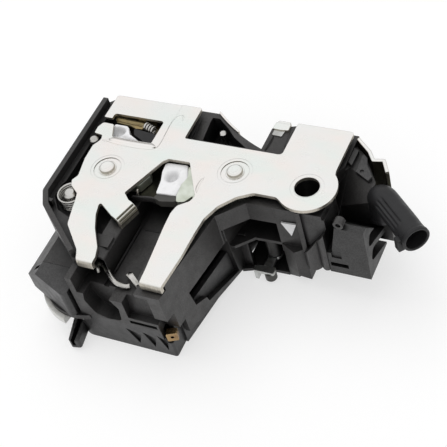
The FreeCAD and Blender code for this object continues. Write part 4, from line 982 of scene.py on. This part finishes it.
@dataclass
class WindowWorks:
    """What shows in the window: the white slider with its thumb hollow, the lever's strip and a small coil."""

    slider_plan: Corners = (
        (-92.0, 15.9, 0.8), (-92.0, 6.6, 0.8), (-76.4, 6.6, 0.8), (-76.4, 8.8, 0.5), (-77.4, 9.1, 0.8),
        (-82.9, 11.9, 1.2), (-84.9, 15.0, 0.6), (-86.2, 15.9, 0.5))
    slider_levels: Pair = (-5.6, -1.62)
    hollow: Pair = (-88.6, 12.4)
    hollow_depth: float = 2.6
    strip_plan: Corners = (
        (-94.6, 20.9, 0.3), (-92.4, 17.6, 0.4), (-86.0, 17.2, 0.5), (-82.4, 16.0, 0.5), (-79.4, 16.2, 0.6),
        (-79.6, 19.6, 0.4), (-84.0, 20.0, 0.4))
    strip_levels: Pair = (-3.4, -2.5)
    groove_depth: float = 0.6
    groove_end: float = -80.5
    coil_ends: tuple[Triple, Triple] = ((-79.2, 18.7, -3.4), (-74.6, 17.0, -3.4))
    coil_radius: float = 1.5
    coil_wire: float = 0.46
    coil_turns: float = 3.5

    def slider_relief(self, x: np.ndarray, y: np.ndarray) -> np.ndarray:
        """Thumb hollow, hollow_depth deep and steep sided, and a soft step up towards the front edge."""
        bowl = ((x - self.hollow[0]) / 2.9) ** 2 + ((y - self.hollow[1]) / 2.2) ** 2
        return -self.hollow_depth * np.exp(-bowl ** 3) - 0.5 / (1 + np.exp((9.4 - y - 0.2 * (x + 80)) * -3))

    def slider(self) -> None:
        """Mould the slider in place of its plain CAD solid."""
        plan = rounded_plan(self.slider_plan, 6, 0.5)
        shape = pillow(plan, *self.slider_levels, 0.45, 34, self.slider_relief)
        slider = add_piece("slider_skin", shape, Slot.WHITE, Body.SLIDER, 50)
        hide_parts("lock_slider")

    def strip_relief(self, x: np.ndarray, y: np.ndarray) -> np.ndarray:
        """A pressed groove along the strip's middle, which stops at groove_end."""
        return -self.groove_depth * hump(y + 0.05 * (x + 94), 19.0, 0.5) * (x < self.groove_end)

    def strip(self) -> None:
        """Bronze strip of the release lever along the window's rear edge, with a lug towards the slider."""
        plan = rounded_plan(self.strip_plan, 5, 0.5)
        shape = pillow(plan, *self.strip_levels, 0.25, relief=self.strip_relief)
        add_piece("lever_strip", shape, Slot.BRONZE, Body.LEVER)

    def coil(self) -> None:
        """Bright coil beside the lever: start + axis * s + r * (u cos a + v sin a) as a runs all its turns."""
        start, end = np.array(self.coil_ends)
        axis = (end - start) / np.linalg.norm(end - start)
        first, second = crosswise(axis)
        angle = np.linspace(0, 2 * np.pi * self.coil_turns, 160)[:, None]
        wound = self.coil_radius * (np.cos(angle) * first + np.sin(angle) * second)
        path = start + (end - start) * angle / angle[-1] + wound
        coil = swept(path, disc(self.coil_wire, 10), tuple(axis))
        spring = add_piece("window_coil", coil, Slot.SPRING, sharp_deg=60)
        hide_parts("window_spring")

    def build(self) -> None:
        """Build all three."""
        self.slider()
        self.strip()
        self.coil()


@dataclass
class MouthWorks:
    """What shows in the mouth: its lining, the dark bar behind it, whose black is painted shade on the back
    plate's front rim, the leaved tab end and the wire in front.
    """

    floor: float = -14.5
    lining_x: float = -64.85
    lining_y: Pair = (-47.4, -21.6)
    tab_root: Pair = (-68.6, -30.9)
    tab_turn_deg: float = -18.6
    roll: float = 4.0
    leaves_deg: tuple[float, ...] = (38.0, 58.0, 78.0)
    rib_plan: Plan = ((-63.9, -46.6), (-63.9, -34.0), (-63.9, -22.0))
    step_plan: Plan = ((-62.6, -24.2), (-57.0, -24.0), (-47.2, -23.8))
    bar_line: Corners = (
        (-68.2, -16.6, -4.6), (-64.5, -16.2, -4.6), (-60.5, -15.6, -4.6), (-57.6, -15.9, -4.6))
    bar_section: Plan = ((-0.5, -2.0), (0.5, -2.0), (0.5, 0.2), (0.3, 0.5), (-0.3, 0.5), (-0.5, 0.2))
    pin_profile: Plan = ((0, -3.0), (0.45, -3.0), (0.45, 0.4), (0.25, 0.65), (0, 0.65))
    pin_place: Triple = (-66.6, -14.2, -3.4)
    pin_axis: Triple = (0.1, 0.25, 1.0)
    wire_line: Corners = (
        (-72.4, -46.4, -12.9), (-70.6, -45.2, -12.6), (-68.2, -45.6, -12.4), (-65.4, -47.7, -12.3),
        (-62.4, -50.2, -12.5), (-59.4, -51.7, -12.8), (-56.0, -52.0, -13.2), (-54.2, -51.2, -13.4))
    hook_line: Corners = (
        (-71.6, -45.0, -12.6), (-70.8, -46.6, -11.9), (-69.8, -47.8, -12.4), (-69.4, -48.4, -13.4))
    curl_line: Corners = (
        (-50.4, -50.6, -13.2), (-52.6, -49.4, -12.4), (-54.6, -48.0, -11.7), (-55.6, -46.9, -11.9),
        (-55.4, -46.2, -12.9))
    curl_section: Plan = ((-1.0, -0.3), (1.0, -0.3), (1.0, 0.3), (-1.0, 0.3))

    def lining(self) -> None:
        """Smooth left wall of the striker channel, with a round shoulder: its section drawn along it."""
        path = np.array([(self.lining_x, y, self.floor + 0.05) for y in np.linspace(*self.lining_y, 24)])
        bend = np.linspace(0, np.pi / 2, 14)
        shoulder = np.column_stack([5.8 * np.sin(bend) - 5.8, 8.4 + 2.3 * np.cos(bend)])[::-1]
        section = np.vstack([[(0.0, -0.02), (0.0, 3.5)], shoulder, [(-5.8, 10.4), (-0.4, 8.1), (-0.4, -0.02)]])
        add_piece("channel_lining", swept(path, section), Slot.BLACK, sharp_deg=50)

    def leaves(self) -> None:
        """Dark leaf ends side by side round the rolled tab: (r sin a, along, r cos a - r) for each a."""
        turn = math.radians(self.tab_turn_deg)
        for i, degrees in enumerate(self.leaves_deg):
            a = math.radians(degrees)
            out, level = self.roll * math.sin(a), self.roll * math.cos(a) - self.roll
            ends = [(self.tab_root[0] + out * math.cos(turn) - y * math.sin(turn),
                     self.tab_root[1] + out * math.sin(turn) + y * math.cos(turn), level)
                    for y in np.linspace(0.3, 9.1, 5)]
            add_piece("tab_leaf_%d" % i, swept(flowing(ends), disc(0.42, 12)), Slot.OLIVE, sharp_deg=60)

    def build(self) -> None:
        """Sweep the lining, the floor's lines, the leaves, the bar and the wire."""
        self.lining()
        self.leaves()
        bead("floor_rib", self.rib_plan, self.floor, 0.8, 0.5, Slot.CONNECTOR)
        bead("floor_step", self.step_plan, self.floor, 0.7, 0.35, Slot.CONNECTOR)
        # Black bar on the back plate's front rim: its black is painted shade.
        add_piece("painted_shade_bar", swept(flowing(self.bar_line), self.bar_section), Slot.BLACK)
        add_piece("mouth_pin", revolved(self.pin_profile, self.pin_place, self.pin_axis, 24), Slot.ZINC)
        wire = swept(flowing(self.wire_line), disc(1.0, 16))
        spring = add_piece("buffer_spring", wire, Slot.SPRING, sharp_deg=60)
        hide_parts("buffer_wire")
        add_piece("spring_hook", swept(flowing(self.hook_line), disc(0.8, 14)), Slot.SPRING, sharp_deg=60)
        add_piece("wire_curl", swept(flowing(self.curl_line), self.curl_section), Slot.SPRING, sharp_deg=30)


@dataclass
class GearCover:
    """Pale round cover under the gear case, cut straight where the base stands in front of it."""

    centre: Pair = (-81.0, -40.0)
    radius: float = 22.3
    straight_y: float = -58.2
    step_x: float = -84.4
    low: float = -34.4
    top: float = -31.4

    def build(self) -> None:
        """Shape the cover: the circle, with y held at straight_y to the right of step_x."""
        plan = np.array(self.centre) + disc(self.radius, 240)
        in_front = (plan[:, 1] < self.straight_y) & (plan[:, 0] > self.step_x)
        plan[in_front, 1] = self.straight_y
        cover = add_piece("cover_disc", pillow(plan, self.low, self.top, 0.5, 8), Slot.NYLON, sharp_deg=50)
        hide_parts("gear_cover")


@dataclass
class RearTrim:
    """Bright clip folded over the rear block, the block's ridges, and the rolled top edge of the side strap."""

    block_top: float = -3.7
    cap_top: float = -2.6
    fold_top: float = -3.2
    cap_plan: Corners = (
        (-26.2, 28.2, 0.6), (-22.6, 28.0, 0.4), (-19.4, 28.4, 0.5), (-19.6, 31.9, 0.5), (-26.0, 31.9, 0.5))
    fold_plan: Corners = (
        (-25.4, 25.4, 0.4), (-21.2, 25.2, 0.4), (-20.8, 28.6, 0.4), (-25.6, 28.7, 0.4))
    ridge_plan: Plan = ((-24.6, 25.6), (-24.8, 21.0), (-25.0, 16.6))
    post_plan: Plan = ((-18.0, 30.6), (-17.6, 25.0), (-17.0, 18.4))
    strap_top: float = -2.6
    strap_plan: Plan = ((9.2, 29.9), (15.6, 24.5), (18.5, 20.5), (22.45, 21.3), (25.6, 15.8))
    strap_steps: int = 61

    def build(self) -> None:
        """Lay the clip's two folds, the ridges and the strap's edge."""
        low = self.block_top - 0.05
        cap = pillow(rounded_plan(self.cap_plan, 5, 0.5), low, self.cap_top, 0.3, 8)
        fold = pillow(rounded_plan(self.fold_plan, 5, 0.5), low, self.fold_top, 0.2, 8)
        add_piece("clip_cap", cap, Slot.ZINC)
        add_piece("clip_fold", fold, Slot.LEVER)
        bead("block_ridge", self.ridge_plan, self.block_top, 1.8, 0.9, Slot.CONNECTOR)
        bead("block_post", self.post_plan, self.block_top, 2.6, 1.0, Slot.BLACK)
        corners = np.array(self.strap_plan)
        share = np.linspace(0, len(corners) - 1, self.strap_steps)
        path = np.column_stack([np.interp(share, np.arange(len(corners)), corners[:, i]) for i in (0, 1)]
                               + [np.full(self.strap_steps, self.strap_top)])
        add_piece("strap_edge", swept(path, disc(0.72, 14, 0.35)), Slot.ZINC, sharp_deg=50)


@dataclass
class FootWeb:
    """Web that closes the foot of the arm beside the cable's way out."""

    corners: Corners = (
        (-31.2, -10.4, 0.3), (-26.2, -10.4, 0.3), (-26.2, -8.6, 0.3), (-31.2, -8.6, 0.3))
    low: float = -43.4
    top: float = -23.6

    def build(self) -> None:
        """Raise the web from the base to the shelf."""
        plan = rounded_plan(self.corners, 4, 0.4)
        add_piece("foot_web", pillow(plan, self.low, self.top, 0.3, 6), Slot.BLACK)


@dataclass
class Studio:
    """Pale floor, soft lamps, white surroundings and the photograph's camera."""

    eye: Triple = (0.151324, -0.252597, 0.314669)
    right: Triple = (0.893429, 0.397856, -0.208555)
    down: Triple = (0.181706, -0.744684, -0.642206)
    lens: float = 93.4229
    sensor: float = 36.0
    floor_z: float = -44.0 * MM
    surround: float = 0.62
    floor_share: float = 0.5
    floor_glow: float = 1.2
    floor_half: float = 3.0
    looked_at: Triple = (-0.03, -0.015, -0.02)
    lamps: tuple[tuple[str, Triple, float, float], ...] = (
        ("over", (-0.30, 0.25, 0.80), 0.8, 3.4), ("front", (0.45, -0.65, 0.45), 0.6, 0.9))

    def camera(self) -> None:
        """Place the camera at the photograph's viewpoint, rolled as the photograph is."""
        right, down = np.array(self.right), np.array(self.down)
        data = bpy.data.cameras.new("view")
        data.lens, data.sensor_width = self.lens, self.sensor
        data.clip_start, data.clip_end = 0.01, 20.0
        camera = bpy.data.objects.new("view", data)
        bpy.context.scene.collection.objects.link(camera)
        camera.matrix_world = placed(right, -down, -np.cross(right, down), self.eye)
        bpy.context.scene.camera = camera

    def seen(self, bench: Bench) -> Socket:
        """1 for rays that come straight, mirrored or through glass from the camera, else 0.

        Args:
            bench: the floor's material.
        Returns:
            The mask.
        """
        path = bench.node("LightPath")
        mirrored = bench.calc("MAXIMUM", path.outputs["Is Glossy Ray"], path.outputs["Is Transmission Ray"])
        return bench.calc("MAXIMUM", path.outputs["Is Camera Ray"], mirrored)

    def floor(self) -> None:
        """A wide pale floor that keeps the shadow and otherwise shows white."""
        ends = (-self.floor_half, self.floor_half)
        grid = np.array([[[x, y, self.floor_z] for x in ends] for y in ends])
        floor = surface("floor", grid, close_rows=False, close_columns=False)
        bench = Bench("pale_floor")
        bench.finish(bench.blend(bench.noise(3, 2), (0.86, 0.86, 0.86), (0.88, 0.88, 0.88)), 0.9,
                     bench.bump(bench.noise(200), 0.001 * MM))
        glow = bench.node("Emission", Strength=self.floor_glow)
        mix = bench.node("MixShader")
        shown = bench.calc("MULTIPLY", self.seen(bench), self.floor_share)
        for index, source in enumerate((shown, bench.shader.outputs[0], glow.outputs[0])):
            bench.join(source, mix.inputs[index])
        bench.feed(bench.nodes["Material Output"], Surface=mix.outputs[0])
        floor.data.materials.append(bench.material)

    def world(self) -> None:
        """Surroundings: white to the eye, in mirrors white above and greyer below, dimmer as a light."""
        world = bpy.data.worlds.new("surround")
        world.use_nodes = True
        bpy.context.scene.world = world
        graph = Graph(world.node_tree)
        rays = graph.node("LightPath").outputs
        split = graph.node("SeparateXYZ", Vector=graph.node("TexCoord").outputs["Generated"])
        mirrored = graph.node("MapRange", Value=split.outputs["Z"], From_Min=-0.1, From_Max=0.75, To_Min=0.45,
                              To_Max=1.0)
        mirrored.interpolation_type = "SMOOTHSTEP"
        strength = self.surround
        for ray, value in (("Is Glossy Ray", mirrored.outputs["Result"]), ("Is Camera Ray", 1.0)):
            choice = graph.node("Mix")
            for source, index in ((rays[ray], 0), (strength, 2), (value, 3)):
                graph.join(source, choice.inputs[index])
            strength = choice.outputs[0]
        graph.feed(graph.nodes["Background"], Strength=strength, Color=(1.0, 1.0, 1.0, 1.0))

    def lamp(self, name: str, place: Triple, size: float, watts: float) -> None:
        """A square soft lamp that looks at the part.

        Args:
            name: the lamp's name.
            place: where it stands, in metres.
            size: its side in metres.
            watts: its power.
        """
        data = bpy.data.lights.new(name, "AREA")
        data.size, data.energy = size, watts
        lamp = bpy.data.objects.new(name, data)
        bpy.context.scene.collection.objects.link(lamp)
        back = np.array(place) - np.array(self.looked_at)
        back /= np.linalg.norm(back)
        lamp.matrix_world = placed(*crosswise(back), back, place)
        lamp.visible_glossy = False

    def build(self) -> None:
        """Set up the whole studio."""
        scene = bpy.context.scene
        scene.view_settings.view_transform = "Standard"
        self.camera()
        self.floor()
        self.world()
        for lamp in self.lamps:
            self.lamp(*lamp)


def main() -> None:
    """Build the sub-assemblies in order."""
    logging.basicConfig(level=logging.INFO, format="%(message)s")
    CarriedNodes({"wire_tab": Slot.SPRING, "earth_tab": Slot.WHITE, "slider_guide": Slot.BOOT}).build()
    for assembly in (ElbowBoot, LeverSpring, PlatePressings, RivetHeads, ClawArm, WindowWorks, MouthWorks,
                     GearCover, FootWeb, RearTrim, Studio):
        assembly().build()


if __name__ == "__main__":
    main()
